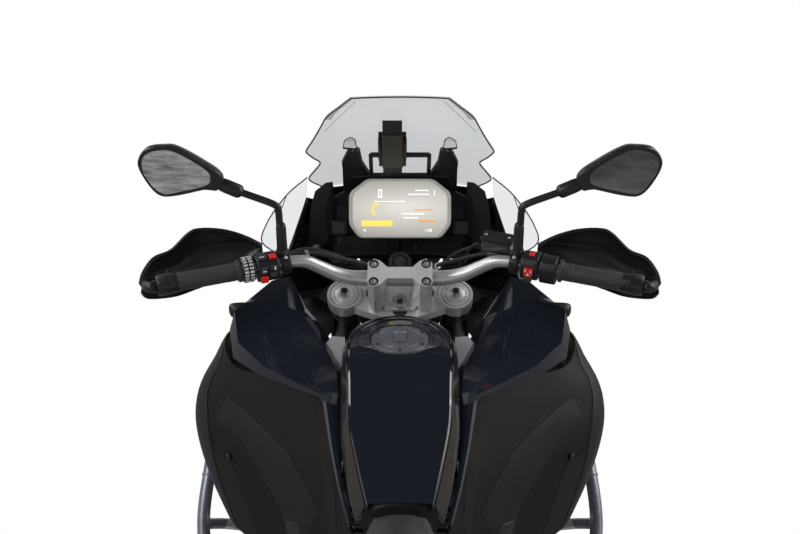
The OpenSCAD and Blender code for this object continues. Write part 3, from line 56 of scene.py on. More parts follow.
# What glossy surfaces reflect, from straight down to straight up: a hazy horizon, then a dark ceiling
STUDIO = (
    (0.0, (0.16, 0.16, 0.16)),
    (0.52, (0.2134, 0.2178, 0.22)),
    (0.575, (0.776, 0.792, 0.80)),
    (0.63, (0.6014, 0.6138, 0.62)),
    (0.69, (0.1164, 0.1188, 0.12)),
    (0.78, (0.03395, 0.03465, 0.035)),
    (1.0, (0.02, 0.02, 0.02)),
)
STUDIO_WAVE = 0.16
AMBIENT = 0.45
FLOOR_HALF = 6.0
FLOOR_DROP = -0.0005
FLOOR_REFLECTION = 0.22


# Camera, light and stage
def make_camera():
    data = bpy.data.cameras.new("camera")
    data.lens = LENS
    data.sensor_width = SENSOR
    cam = bpy.data.objects.new("camera", data)
    cam.location = CAMERA_PLACE
    cam.rotation_euler = (math.radians(CAMERA_TILT), 0.0, 0.0)
    bpy.context.scene.collection.objects.link(cam)
    bpy.context.scene.camera = cam


def area_light(name, place, target, size, power):
    data = bpy.data.lights.new(name, "AREA")
    data.shape = "RECTANGLE"
    data.size, data.size_y = size
    data.energy = power
    lamp = bpy.data.objects.new(name, data)
    lamp.location = place
    lamp.rotation_euler = (Vector(target) - Vector(place)).to_track_quat("-Z", "Y").to_euler()
    bpy.context.scene.collection.objects.link(lamp)


def add(nodes, kind, **values):
    """A new shader node with input values; an underscore stands for a space in a name."""
    node = nodes.new("ShaderNode" + kind)
    for key, value in values.items():
        node.inputs[key.replace("_", " ")].default_value = value
    return node


def ramp_of(nodes, links, level, *stops):
    """The colour that (place, colour) stops give to a level."""
    ramp = nodes.new("ShaderNodeValToRGB")
    elements = ramp.color_ramp.elements
    for element, (place, colour) in zip(elements, (stops[0], stops[-1])):
        element.position = place
        element.color = (*colour, 1)
    for place, colour in stops[1:-1]:
        elements.new(place).color = (*colour, 1)
    links.new(level, ramp.inputs["Fac"])
    return ramp.outputs["Color"]


def mixed(nodes, links, factor, first, second):
    """One shader or the other, by a factor."""
    mix = nodes.new("ShaderNodeMixShader")
    for socket, link in zip(mix.inputs, (factor, first.outputs[0], second.outputs[0])):
        links.new(link, socket)
    return mix


def is_background_ray(nodes, links):
    """1 for rays that should see the white backdrop: camera and glass rays."""
    path = nodes.new("ShaderNodeLightPath")
    both = nodes.new("ShaderNodeMath")
    both.operation = "MAXIMUM"
    links.new(path.outputs["Is Camera Ray"], both.inputs[0])
    links.new(path.outputs["Is Transmission Ray"], both.inputs[1])
    return both.outputs[0]


def is_mirror_ray(nodes):
    """1 for rays that leave a glossy surface."""
    return nodes.new("ShaderNodeLightPath").outputs["Is Glossy Ray"]


def studio_colour(nodes, links):
    """The studio's colour by the height of a ray, with a slow wave in its bands."""
    coords = nodes.new("ShaderNodeTexCoord")
    split = nodes.new("ShaderNodeSeparateXYZ")
    links.new(coords.outputs["Generated"], split.inputs["Vector"])
    height = add(nodes, "MapRange", From_Min=-1.0, From_Max=1.0)
    links.new(split.outputs["Z"], height.inputs["Value"])
    wave = add(nodes, "TexNoise", Scale=2.6, Detail=3.0)
    links.new(coords.outputs["Generated"], wave.inputs["Vector"])
    shift = nodes.new("ShaderNodeMath")
    shift.operation = "MULTIPLY_ADD"
    shift.inputs[1].default_value = STUDIO_WAVE
    links.new(wave.outputs["Fac"], shift.inputs[0])
    links.new(height.outputs["Result"], shift.inputs[2])
    return ramp_of(nodes, links, shift.outputs[0], *STUDIO)


def make_world():
    world = bpy.data.worlds.new("studio")
    bpy.context.scene.world = world
    world.use_nodes = True
    nodes, links = world.node_tree.nodes, world.node_tree.links
    nodes.clear()
    light = add(nodes, "Background", Color=(0.93, 0.96, 1.0, 1.0), Strength=AMBIENT)
    white = add(nodes, "Background", Color=(1.0, 1.0, 1.0, 1.0), Strength=1.0)
    studio = nodes.new("ShaderNodeBackground")
    links.new(studio_colour(nodes, links), studio.inputs["Color"])
    soft = mixed(nodes, links, is_mirror_ray(nodes), light, studio)
    mix = mixed(nodes, links, is_background_ray(nodes, links), soft, white)
    out = nodes.new("ShaderNodeOutputWorld")
    links.new(mix.outputs[0], out.inputs[0])


def new_material(name):
    mat = bpy.data.materials.new(name)
    mat.use_nodes = True
    return mat, mat.node_tree.nodes, mat.node_tree.links


def make_floor():
    mesh = bpy.data.meshes.new("floor")
    corners = [(-1, -1), (1, -1), (1, 1), (-1, 1)]
    mesh.from_pydata([(x * FLOOR_HALF, y * FLOOR_HALF, FLOOR_DROP) for x, y in corners], [],
                     [(0, 1, 2, 3)])
    floor = bpy.data.objects.new("floor", mesh)
    bpy.context.scene.collection.objects.link(floor)
    mat, nodes, links = new_material("floor")
    shader = nodes["Principled BSDF"]
    shader.inputs["Roughness"].default_value = 0.6
    noise = add(nodes, "TexNoise", Scale=3.0)
    tone = ramp_of(nodes, links, noise.outputs["Fac"], (0.0, (0.90, 0.90, 0.90)),
                   (1.0, (0.94, 0.94, 0.94)))
    links.new(tone, shader.inputs["Base Color"])
    grey = add(nodes, "Emission", Strength=FLOOR_REFLECTION)
    white = nodes.new("ShaderNodeEmission")
    soft = mixed(nodes, links, is_mirror_ray(nodes), shader, grey)
    mix = mixed(nodes, links, is_background_ray(nodes, links), soft, white)
    links.new(mix.outputs[0], nodes["Material Output"].inputs["Surface"])
    mesh.materials.append(mat)


# Materials
def surface(name, colour, rough, metal=0.0, grain=0.0, grain_size=400.0, mottle=0.12, mottle_size=30.0,
            rough_spread=0.08, coat=0.0, wear=0.0, wear_colour=(), sheen=0.0, gloss=0.5):
    """A procedural finish: mottled colour, uneven roughness, fine grain as bump and worn edges."""
    mat, nodes, links = new_material(name)
    shader = nodes["Principled BSDF"]
    for key, value in (("Metallic", metal), ("IOR", 1.5), ("Specular IOR Level", gloss),
                       ("Coat Weight", coat), ("Coat Roughness", 0.05), ("Sheen Weight", sheen)):
        shader.inputs[key].default_value = value
    coords = nodes.new("ShaderNodeTexCoord")
    noise = add(nodes, "TexNoise", Scale=mottle_size, Detail=6.0)
    links.new(coords.outputs["Object"], noise.inputs["Vector"])
    low = [max(0.0, c * (1 - mottle)) for c in colour]
    high = [min(1.0, c * (1 + mottle)) for c in colour]
    tone = ramp_of(nodes, links, noise.outputs["Fac"], (0.3, low), (0.7, high))
    if wear:
        geometry = nodes.new("ShaderNodeNewGeometry")
        edge = ramp_of(nodes, links, geometry.outputs["Pointiness"], (0.52, (0, 0, 0)), (0.60, (1, 1, 1)))
        amount = nodes.new("ShaderNodeMath")
        amount.operation = "MULTIPLY"
        amount.inputs[1].default_value = wear
        links.new(edge, amount.inputs[0])
        mix = nodes.new("ShaderNodeMix")
        mix.data_type = "RGBA"
        mix.inputs["B"].default_value = (*wear_colour, 1)
        links.new(amount.outputs[0], mix.inputs["Factor"])
        links.new(tone, mix.inputs["A"])
        tone = mix.outputs["Result"]
    links.new(tone, shader.inputs["Base Color"])
    spread = add(nodes, "MapRange", To_Min=max(0.0, rough - rough_spread),
                 To_Max=min(1.0, rough + rough_spread))
    links.new(noise.outputs["Fac"], spread.inputs["Value"])
    links.new(spread.outputs["Result"], shader.inputs["Roughness"])
    if grain:
        fine = add(nodes, "TexNoise", Scale=grain_size, Detail=3.0)
        links.new(coords.outputs["Object"], fine.inputs["Vector"])
        bump = add(nodes, "Bump", Strength=grain, Distance=0.0006)
        links.new(fine.outputs["Fac"], bump.inputs["Height"])
        links.new(bump.outputs["Normal"], shader.inputs["Normal"])
    return mat


def clear(name, colour, alpha, rough):
    """Thin clear plastic: mostly see-through, with a gloss that shows at its edges."""
    mat, nodes, links = new_material(name)
    nodes.clear()
    through = add(nodes, "BsdfTransparent", Color=(*colour, 1))
    gloss = add(nodes, "BsdfPrincipled", Base_Color=(0.25, 0.26, 0.27, 1))
    noise = add(nodes, "TexNoise", Scale=12.0)
    spread = add(nodes, "MapRange", To_Min=rough, To_Max=rough + 0.04)
    links.new(noise.outputs["Fac"], spread.inputs["Value"])
    links.new(spread.outputs["Result"], gloss.inputs["Roughness"])
    weight = add(nodes, "LayerWeight", Blend=0.35)
    facing = add(nodes, "MapRange", To_Min=alpha, To_Max=min(1.0, alpha + 0.45))
    links.new(weight.outputs["Facing"], facing.inputs["Value"])
    mix = mixed(nodes, links, facing.outputs["Result"], through, gloss)
    out = nodes.new("ShaderNodeOutputMaterial")
    links.new(mix.outputs[0], out.inputs[0])
    return mat


def glow(name, colour, strength):
    mat = surface(name, colour, 0.3)
    shader = mat.node_tree.nodes["Principled BSDF"]
    shader.inputs["Emission Color"].default_value = (*colour, 1)
    shader.inputs["Emission Strength"].default_value = strength
    return mat


def tone_with_painted_glow(links, shader, tone, strength):
    """Gives a shader one tone for its colour and for a glow of its own: painted light that no lamp gives
    it.
    """
    links.new(tone, shader.inputs["Base Color"])
    links.new(tone, shader.inputs["Emission Color"])
    shader.inputs["Emission Strength"].default_value = strength


def dial_face():
    """Cream face of the display, brighter in the middle, as a lit screen behind glass: its glow is partly
    the screen's own light and partly painted light.
    """
    mat, nodes, links = new_material("dial_face")
    shader = nodes["Principled BSDF"]
    shader.inputs["Roughness"].default_value = 0.22
    coords = nodes.new("ShaderNodeTexCoord")
    centre = (0.012, 0.0, 1.133)
    scale = (4.6, 0.01, 19.0)
    place = add(nodes, "Mapping", Location=[-c * k for c, k in zip(centre, scale)], Scale=scale)
    blob = nodes.new("ShaderNodeTexGradient")
    blob.gradient_type = "SPHERICAL"
    links.new(coords.outputs["Object"], place.inputs["Vector"])
    links.new(place.outputs["Vector"], blob.inputs["Vector"])
    tone = ramp_of(nodes, links, blob.outputs["Fac"], (0.0, (0.36, 0.35, 0.315)),
                   (0.9, (0.70, 0.675, 0.61)))
    tone_with_painted_glow(links, shader, tone, 0.5)
    return mat


def painted_mirror_view(name, dark, pale, size):
    """Mirror glass with a painted reflection: a soft, streaky grey landscape in its colour and its own
    glow.
    """
    mat, nodes, links = new_material(name)
    shader = nodes["Principled BSDF"]
    shader.inputs["Roughness"].default_value = 0.04
    shader.inputs["Coat Weight"].default_value = 0.3
    coords = nodes.new("ShaderNodeTexCoord")
    stretch = add(nodes, "Mapping", Rotation=(0.0, 0.35, 0.0), Scale=(0.35, 1.0, 1.6))
    noise = add(nodes, "TexNoise", Scale=size, Detail=8.0, Roughness=0.65)
    links.new(coords.outputs["Object"], stretch.inputs["Vector"])
    links.new(stretch.outputs["Vector"], noise.inputs["Vector"])
    tone_with_painted_glow(links, shader, ramp_of(nodes, links, noise.outputs["Fac"], (0.38, dark), (0.62, pale)), 0.25)
    return mat


# Finishes, by the arguments of the function that makes them
LOOKS = {"gloss_black": dict(colour=(0.006, 0.007, 0.009), rough=0.07, rough_spread=0.02, coat=0.6,
                             mottle_size=8), "moulded": dict(colour=(0.0042, 0.0040, 0.0036), rough=0.46,
                                                             grain=0.5, grain_size=900, gloss=0.3),
         "moulded_dark": dict(colour=(0.012, 0.012, 0.013), rough=0.5, grain=0.7, grain_size=700),
         "housing": dict(colour=(0.013, 0.013, 0.014), rough=0.33, grain=0.3, grain_size=1200),
         "rubber": dict(colour=(0.014, 0.014, 0.015), rough=0.62, grain=0.5, grain_size=1500),
         "tyre": dict(colour=(0.022, 0.022, 0.023), rough=0.78, grain=0.8, grain_size=500, mottle=0.25),
         "bar": dict(colour=(0.60, 0.595, 0.58), rough=0.34, metal=0.7, grain=0.12, grain_size=1800,
                     mottle=0.05), "silver": dict(colour=(0.66, 0.665, 0.67), rough=0.30, metal=0.45,
                                                  grain=0.25, grain_size=1400, mottle=0.06),
         "polished": dict(colour=(0.70, 0.71, 0.72), rough=0.18, metal=0.75, mottle=0.04,
                          rough_spread=0.04), "brushed": dict(colour=(0.36, 0.36, 0.37), rough=0.38,
                                                              metal=0.6, grain=0.3, grain_size=900),
         "dark_metal": dict(colour=(0.075, 0.077, 0.082), rough=0.36, metal=0.7, grain=0.4,
                            grain_size=900), "frame": dict(colour=(0.016, 0.016, 0.017), rough=0.36,
                                                           grain=0.25, grain_size=900, coat=0.25,
                                                           wear=0.25, wear_colour=(0.09, 0.09, 0.09)),
         "casting": dict(colour=(0.10, 0.10, 0.107), rough=0.46, metal=0.75, grain=1.0, grain_size=500,
                         mottle=0.2, wear=0.3, wear_colour=(0.3, 0.3, 0.31)),
         "exhaust": dict(colour=(0.36, 0.33, 0.30), rough=0.32, metal=0.6, mottle=0.2, mottle_size=18),
         "disc": dict(colour=(0.48, 0.48, 0.49), rough=0.30, metal=0.6, grain=0.2, grain_size=1500),
         "chain": dict(colour=(0.20, 0.195, 0.19), rough=0.38, metal=1.0, grain=0.5, mottle=0.3,
                       mottle_size=90), "spring": dict(colour=(0.42, 0.33, 0.06), rough=0.25, coat=0.5),
         "mirror": dict(colour=(0.20, 0.205, 0.215), rough=0.03, metal=1.0, mottle=0.1, mottle_size=40,
                        rough_spread=0.02), "seat": dict(colour=(0.018, 0.018, 0.019), rough=0.55,
                                                         grain=0.9, grain_size=650, sheen=0.05),
         "red": dict(colour=(0.62, 0.02, 0.02), rough=0.3, mottle=0.05),
         "amber": dict(colour=(0.75, 0.24, 0.02), rough=0.15, coat=0.4, mottle=0.08, mottle_size=200),
         "tail_red": dict(colour=(0.42, 0.01, 0.01), rough=0.12, coat=0.5, mottle=0.15, mottle_size=200),
         "pale_rim": dict(colour=(0.50, 0.485, 0.44), rough=0.3, grain=0.15, grain_size=1500,
                          mottle=0.06), "white_paint": dict(colour=(0.75, 0.75, 0.73), rough=0.4,
                                                            mottle=0.05), "grip": dict(colour=(0.030,
                                                                                               0.030,
                                                                                               0.031),
                                                                                       rough=0.5,
                                                                                       grain=0.35,
                                                                                       grain_size=1600,
                                                                                       sheen=0.05),
         "key_grey": dict(colour=(0.035, 0.036, 0.038), rough=0.45, grain=0.3, grain_size=1300),
         "lever": dict(colour=(0.03, 0.031, 0.033), rough=0.34, metal=0.5, grain=0.2, grain_size=1000,
                       wear=0.2, wear_colour=(0.18, 0.18, 0.18)), "reservoir": dict(colour=(0.05, 0.048,
                                                                                            0.042),
                                                                                    rough=0.25, coat=0.3,
                                                                                    mottle=0.2),
         "satin_black": dict(colour=(0.014, 0.014, 0.0145), rough=0.3, grain=0.2, grain_size=1100,
                             rough_spread=0.05), "edge_dark": dict(colour=(0.05, 0.052, 0.055), rough=0.3,
                                                                   mottle=0.1),
         # Pale grey: painted highlights on the screen's creases and a painted reflection on the
         # shoulders' facets
         "edge_soft": dict(colour=(0.33, 0.34, 0.35), rough=0.25, mottle=0.08),
         "pale_knob": dict(colour=(0.80, 0.80, 0.79), rough=0.35, grain=0.2, grain_size=1200),
         "tank_gloss": dict(colour=(0.010, 0.012, 0.017), rough=0.06, rough_spread=0.02, coat=0.7,
                            mottle_size=6), "skirt": dict(colour=(0.018, 0.0155, 0.0135), rough=0.18,
                                                          coat=0.4, mottle=0.4, mottle_size=14),
         # The next four finishes are lighter copies of the moulded finish: painted light on the side
         # panels' band and facets and on the tail covers; the band's bluish tint is a painted reflection
         "moulded_band": dict(colour=(0.016, 0.0175, 0.0205), rough=0.40, grain=0.5, grain_size=900,
                              gloss=0.3), "moulded_facet": dict(colour=(0.0095, 0.0095, 0.0095),
                                                                rough=0.44, grain=0.5, grain_size=900,
                                                                gloss=0.3),
         "moulded_pale": dict(colour=(0.020, 0.0205, 0.0215), rough=0.44, grain=0.5, grain_size=900,
                              gloss=0.3), "moulded_warm": dict(colour=(0.0078, 0.0066, 0.0044),
                                                               rough=0.45, grain=0.5, grain_size=900,
                                                               gloss=0.3), "shadow": dict(colour=(0.0025,
                                                                                                  0.0025,
                                                                                                  0.0027),
                                                                                          rough=0.7,
                                                                                          mottle=0.3),
         # Pale grey line: a painted highlight on the shoulders' rims
         "edge_line": dict(colour=(0.16, 0.165, 0.17), rough=0.3, mottle=0.15),
         "rim_edge": dict(colour=(0.07, 0.071, 0.075), rough=0.3, metal=0.5, grain=0.2, grain_size=1200),
         "exhaust_hot": dict(colour=(0.30, 0.245, 0.19), rough=0.32, metal=0.6, mottle=0.3,
                             mottle_size=12), "projector": dict(colour=(0.10, 0.11, 0.13), rough=0.04,
                                                                coat=1.0, mottle=0.1),
         "seat_seam": dict(colour=(0.010, 0.010, 0.0105), rough=0.5, grain=0.5, grain_size=1800),
         "thread": dict(colour=(0.12, 0.12, 0.12), rough=0.7, grain=0.5, grain_size=2600),
         "rack_black": dict(colour=(0.018, 0.018, 0.019), rough=0.38, grain=0.5, grain_size=1500,
                            coat=0.2), "panel_navy": dict(colour=(0.011, 0.0135, 0.0195), rough=0.09,
                                                          rough_spread=0.03, coat=0.5, mottle_size=8),
         "carrier_grey": dict(colour=(0.040, 0.038, 0.033), rough=0.42, grain=0.3, grain_size=1200),
         "guard_grey": dict(colour=(0.27, 0.285, 0.32), rough=0.36, metal=0.7, grain=0.15,
                            grain_size=1500, mottle=0.08), "cap_grey": dict(colour=(0.115, 0.12, 0.14),
                                                                            rough=0.36, metal=0.3,
                                                                            grain=0.25, grain_size=1200),}
CLEARS = {
    "lens": ((0.96, 0.97, 0.98), 0.18, 0.03),
    "screen": ((0.93, 0.94, 0.95), 0.02, 0.03),
    "screen_dark": ((0.86, 0.87, 0.88), 0.03, 0.03),
}
GLOWS = {
    "white_glow": ((0.95, 0.95, 0.92), 0.9),
    "amber_glow": ((0.93, 0.68, 0.10), 0.7),
    "orange_glow": ((0.80, 0.42, 0.12), 0.5),
}
# Painted reflections of the two mirror glasses: dark tone, pale tone and streak size
PAINTED_MIRROR_VIEWS = {
    "mirror_left": ((0.10, 0.10, 0.10), (0.34, 0.335, 0.325), 42.0),
    "mirror_right": ((0.035, 0.036, 0.038), (0.10, 0.10, 0.105), 16.0),
}
FINISH = {"dial": dial_face()}
FINISH |= {name: surface(name, **look) for name, look in LOOKS.items()}
FINISH |= {name: clear(name, *look) for name, look in CLEARS.items()}
FINISH |= {name: glow(name, *look) for name, look in GLOWS.items()}
FINISH |= {name: painted_mirror_view(name, *look) for name, look in PAINTED_MIRROR_VIEWS.items()}

# Nodes of the CAD model that take each finish
FINISH_NODES = {
    "bar": "handlebar",
    "silver": "top_yoke crash_bars",
    "dark_metal": "bottom_yoke fork_tubes front_calipers front_rim rear_rim rear_caliper filler_cap",
    "polished": "fork_stanchions",
    "brushed": "front_axle front_hub rear_hub pivot_bolts bash_plate footpegs swingarm",
    "moulded": "front_mudguard hand_guards side_panels tail_unit",
    "rubber": "grips brake_hoses",
    "housing": "switchgear levers mirrors display",
    "mirror": "mirror_glass",
    "tyre": "front_tyre rear_tyre",
    "disc": "front_discs rear_disc",
    "chain": "rear_sprocket drive_chain",
    "frame": "frame steering_head front_stay radiator luggage_rack centre_stand side_stand",
    "casting": "crankcase cylinder_head",
    "exhaust": "exhaust",
    "moulded_dark": "fuel_tank cockpit",
    "gloss_black": "tank_cover shoulder_panels front_fairing",
    "seat": "seat",
    "screen": "windscreen",
    "lens": "headlight",
    "amber": "lamps",
    "spring": "shock_absorber",
}


def finish_cad():
    for finish, names in FINISH_NODES.items():
        for name in names.split():
            slots = NODES[name].data.materials
            slots.clear()
            slots.append(FINISH[finish])


# Shapes, with every size in millimetres
def spun(degrees, axis):
    return Matrix.Rotation(math.radians(degrees), 4, axis)


def put(x, y, z):
    return Matrix.Translation((x, y, z))


CORE = 0.01
RAKE = math.radians(28)
FOOT_Y = 909.1
STEER = put(0, FOOT_Y, 0) @ Matrix.Rotation(RAKE, 4, "X")
BAR_BEND = Vector((200, 342.5, 1117))
BAR_TIP = Vector((398, 271.3, 1115.2))
BAR_YAW = math.atan2(BAR_TIP.y - BAR_BEND.y, BAR_TIP.x - BAR_BEND.x)


def bar_at(x):
    return BAR_BEND + (BAR_TIP - BAR_BEND) * (x - BAR_BEND.x) / (BAR_TIP.x - BAR_BEND.x)


def on_bar(x):
    return Matrix.Translation(bar_at(x)) @ Matrix.Rotation(BAR_YAW, 4, "Z")


def cubic(a, b, c, d, t):
    return 0.5 * (2 * b + (c - a) * t + (2 * a - 5 * b + 4 * c - d) * t * t +
                  (3 * b - a - 3 * c + d) * t ** 3)


def smooth(points, n, closed=False):
    """Points of a curve through the given ones, n to each span."""
    pts = [Vector(p) for p in points]
    m = len(pts)
    if closed:
        return [cubic(pts[i - 1], pts[i], pts[(i + 1) % m], pts[(i + 2) % m], k / n) for i in range(m)
                for k in range(n)]
    out = [cubic(pts[max(i - 1, 0)], pts[i], pts[i + 1], pts[min(i + 2, m - 1)], k / n)
           for i in range(m - 1) for k in range(n)]
    return out + [pts[-1]]


def piece(name, verts, faces, finish, body, place=None, smooth_angle=38, bevel=0.0, levels=0,
          replaces=()):
    """A mesh piece from millimetre points, riding on a body."""
    mesh = bpy.data.meshes.new(name)
    move = place or Matrix.Identity(4)
    mesh.from_pydata([tuple((move @ Vector(v)) * MM) for v in verts], [], [tuple(f) for f in faces])
    mesh.materials.append(FINISH[finish])
    obj = bpy.data.objects.new(name, mesh)
    bpy.context.scene.collection.objects.link(obj)
    tidy = bmesh.new()
    tidy.from_mesh(mesh)
    bmesh.ops.remove_doubles(tidy, verts=tidy.verts, dist=1e-6)
    bmesh.ops.recalc_face_normals(tidy, faces=tidy.faces)
    tidy.to_mesh(mesh)
    tidy.free()
    if bevel:
        mod = obj.modifiers.new("bevel", "BEVEL")
        mod.width = bevel * MM
        mod.segments = 3
        mod.limit_method = "ANGLE"
        mod.angle_limit = math.radians(30)
    if levels:
        mod = obj.modifiers.new("subdivision", "SUBSURF")
        mod.levels = mod.render_levels = levels
    if smooth_angle:
        mesh.shade_smooth()
        mesh.set_sharp_from_angle(angle=math.radians(smooth_angle))
    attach(obj, body)
    if replaces:
        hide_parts(*replaces)
    return obj


def rings(sections, closed=False, caps=True):
    """(verts, faces) of a skin through sections with as many points each."""
    m = len(sections[0])
    n = len(sections)
    verts = [p for s in sections for p in s]
    faces = []
    for i in range(n if closed else n - 1):
        a, b = i * m, ((i + 1) % n) * m
        faces += [(a + k, a + (k + 1) % m, b + (k + 1) % m, b + k) for k in range(m)]
    if caps and not closed:
        faces += [tuple(reversed(range(m))), tuple(range((n - 1) * m, n * m))]
    return verts, faces


def lathe(profile, sides=48, closed=False):
    """(verts, faces) of a profile of (radius, height) turned round the Z axis."""
    sections = [[(r * math.cos(2 * math.pi * k / sides), r * math.sin(2 * math.pi * k / sides), h)
                 for k in range(sides)] for r, h in profile]
    return rings(sections, closed=closed, caps=not closed)


def sweep(path, radius, sides=20, up=(0, 0, 1)):
    """(verts, faces) of a round tube; radius is one number or one for each point."""
    pts = [Vector(p) for p in path]
    sections = []
    for i, p in enumerate(pts):
        t = (pts[min(i + 1, len(pts) - 1)] - pts[max(i - 1, 0)]).normalized()
        u = Vector(up).cross(t).normalized()
        v = t.cross(u)
        r = radius[i] if isinstance(radius, (list, tuple)) else radius
        sections.append([p + r * (math.cos(2 * math.pi * k / sides) * u +
                                  math.sin(2 * math.pi * k / sides) * v) for k in range(sides)])
    return rings(sections)


def prism(outline, z0, z1):
    """(verts, faces) of an outline of (x, y) between two heights."""
    return rings([[(x, y, z0) for x, y in outline], [(x, y, z1) for x, y in outline]])


def join(*shapes):
    verts, faces = [], []
    for v, f in shapes:
        base = len(verts)
        verts += [tuple(p) for p in v]
        faces += [tuple(i + base for i in face) for face in f]
    return verts, faces


def moved(shape, matrix):
    return [tuple(matrix @ Vector(p)) for p in shape[0]], shape[1]


def mirrored(shape):
    return [(-p[0], p[1], p[2]) for p in shape[0]], [tuple(reversed(f)) for f in shape[1]]


def both_sides(shape):
    return join(shape, mirrored(shape))


def along(place, axis):
    """Frame with its Z axis along the given direction."""
    return Matrix.Translation(place) @ Vector(axis).to_track_quat("Z", "Y").to_matrix().to_4x4()


def fine_grid(rows, n, m=None):
    """A grid of points through the rows' points, n by m to each cell."""
    m = m or n
    lengthways = [smooth([r[j] for r in rows], n) for j in range(len(rows[0]))]
    return [smooth([column[i] for column in lengthways], m) for i in range(len(lengthways[0]))]


def shell(grid, t):
    """(verts, faces) of a closed skin: the grid is its outer face and t its depth inward."""
    n, m = len(grid), len(grid[0])
    back = []
    for i in range(n):
        for j in range(m):
            a = grid[min(i + 1, n - 1)][j] - grid[max(i - 1, 0)][j]
            b = grid[i][min(j + 1, m - 1)] - grid[i][max(j - 1, 0)]
            back.append(grid[i][j] - t * a.cross(b).normalized())
    verts = [p for row in grid for p in row] + back
    s = n * m
    faces = []
    for i in range(n - 1):
        for j in range(m - 1):
            a = i * m + j
            faces.append((a, a + m, a + m + 1, a + 1))
            faces.append((s + a, s + a + 1, s + a + m + 1, s + a + m))
    rim = list(range(m)) + [i * m + m - 1 for i in range(1, n)] + [(n - 1) * m + j
                                                                   for j in range(m - 2, -1, -1)]
    rim += [i * m for i in range(n - 2, 0, -1)]
    faces += [(rim[k], rim[(k + 1) % len(rim)], rim[(k + 1) % len(rim)] + s, rim[k] + s)
              for k in range(len(rim))]
    return verts, faces


def bolt_head(r, h):
    """(verts, faces) of a round head with a socket, standing on Z = 0."""
    return lathe([(CORE, 0), (r, 0), (r, h * 0.75), (r * 0.86, h), (r * 0.52, h), (r * 0.52, h * 0.35),
                  (CORE, h * 0.35)], 24)


def bolts(name, places, axis, r, h, body, finish="dark_metal"):
    shapes = [moved(bolt_head(r, h), along(p, axis)) for p in places]
    return piece(name, *join(*shapes), finish, body)


# Display, yoke, handlebar and what they carry
DISPLAY = put(0, 530, 1131) @ spun(60, "X")
DISPLAY_HALF = [(66, 59), (97, 34), (101, 25), (101, -32), (81, -59)]


def rounded(points, r, n=4):
    """Corners of an outline rounded by arcs of about radius r."""
    pts = [Vector((*p, 0)) for p in points]
    out = []
    for i, p in enumerate(pts):
        a = (pts[i - 1] - p)
        b = (pts[(i + 1) % len(pts)] - p)
        k = min(r, a.length * 0.45, b.length * 0.45)
        start, end = p + a.normalized() * k, p + b.normalized() * k
        for j in range(n + 1):
            t = j / n
            q = start * (1 - t) ** 2 + p * 2 * t * (1 - t) + end * t ** 2
            out.append((q.x, q.y))
    return out


def scaled(outline, k):
    return [(x * k, y * k) for x, y in outline]


def mirrored_outline(half):
    return half + [(-x, y) for x, y in reversed(half)]


SEGMENTS = {"0": "abcdef", "1": "bc", "2": "abged", "3": "abgcd", "4": "fgbc", "5": "afgcd",
            "6": "afgedc", "7": "abc", "8": "abcdefg", "9": "abfgcd", "-": "g"}


def box(x0, x1, y0, y1, z0, z1):
    return prism([(x0, y0), (x1, y0), (x1, y1), (x0, y1)], z0, z1)


def digits(text, x, y, h, z):
    """Plain numbers drawn with seven bars each."""
    w, t = h * 0.5, h * 0.13
    bars = {"a": (0, h - t, w, h), "g": (0, h / 2 - t / 2, w, h / 2 + t / 2), "d": (0, 0, w, t),
            "f": (0, h / 2, t, h), "b": (w - t, h / 2, w, h), "e": (0, 0, t, h / 2),
            "c": (w - t, 0, w, h / 2)}
    shapes = []
    for char in text:
        for key in SEGMENTS.get(char, ""):
            x0, y0, x1, y1 = bars[key]
            shapes.append(box(x + x0, x + x1, y + y0, y + y1, z, z + 0.3))
        if char == ":":
            shapes += [box(x + t, x + 2 * t, y + h * k, y + h * k + t, z, z + 0.3) for k in (0.25, 0.62)]
        x += w * (0.6 if char == ":" else 1.45)
    return join(*shapes)


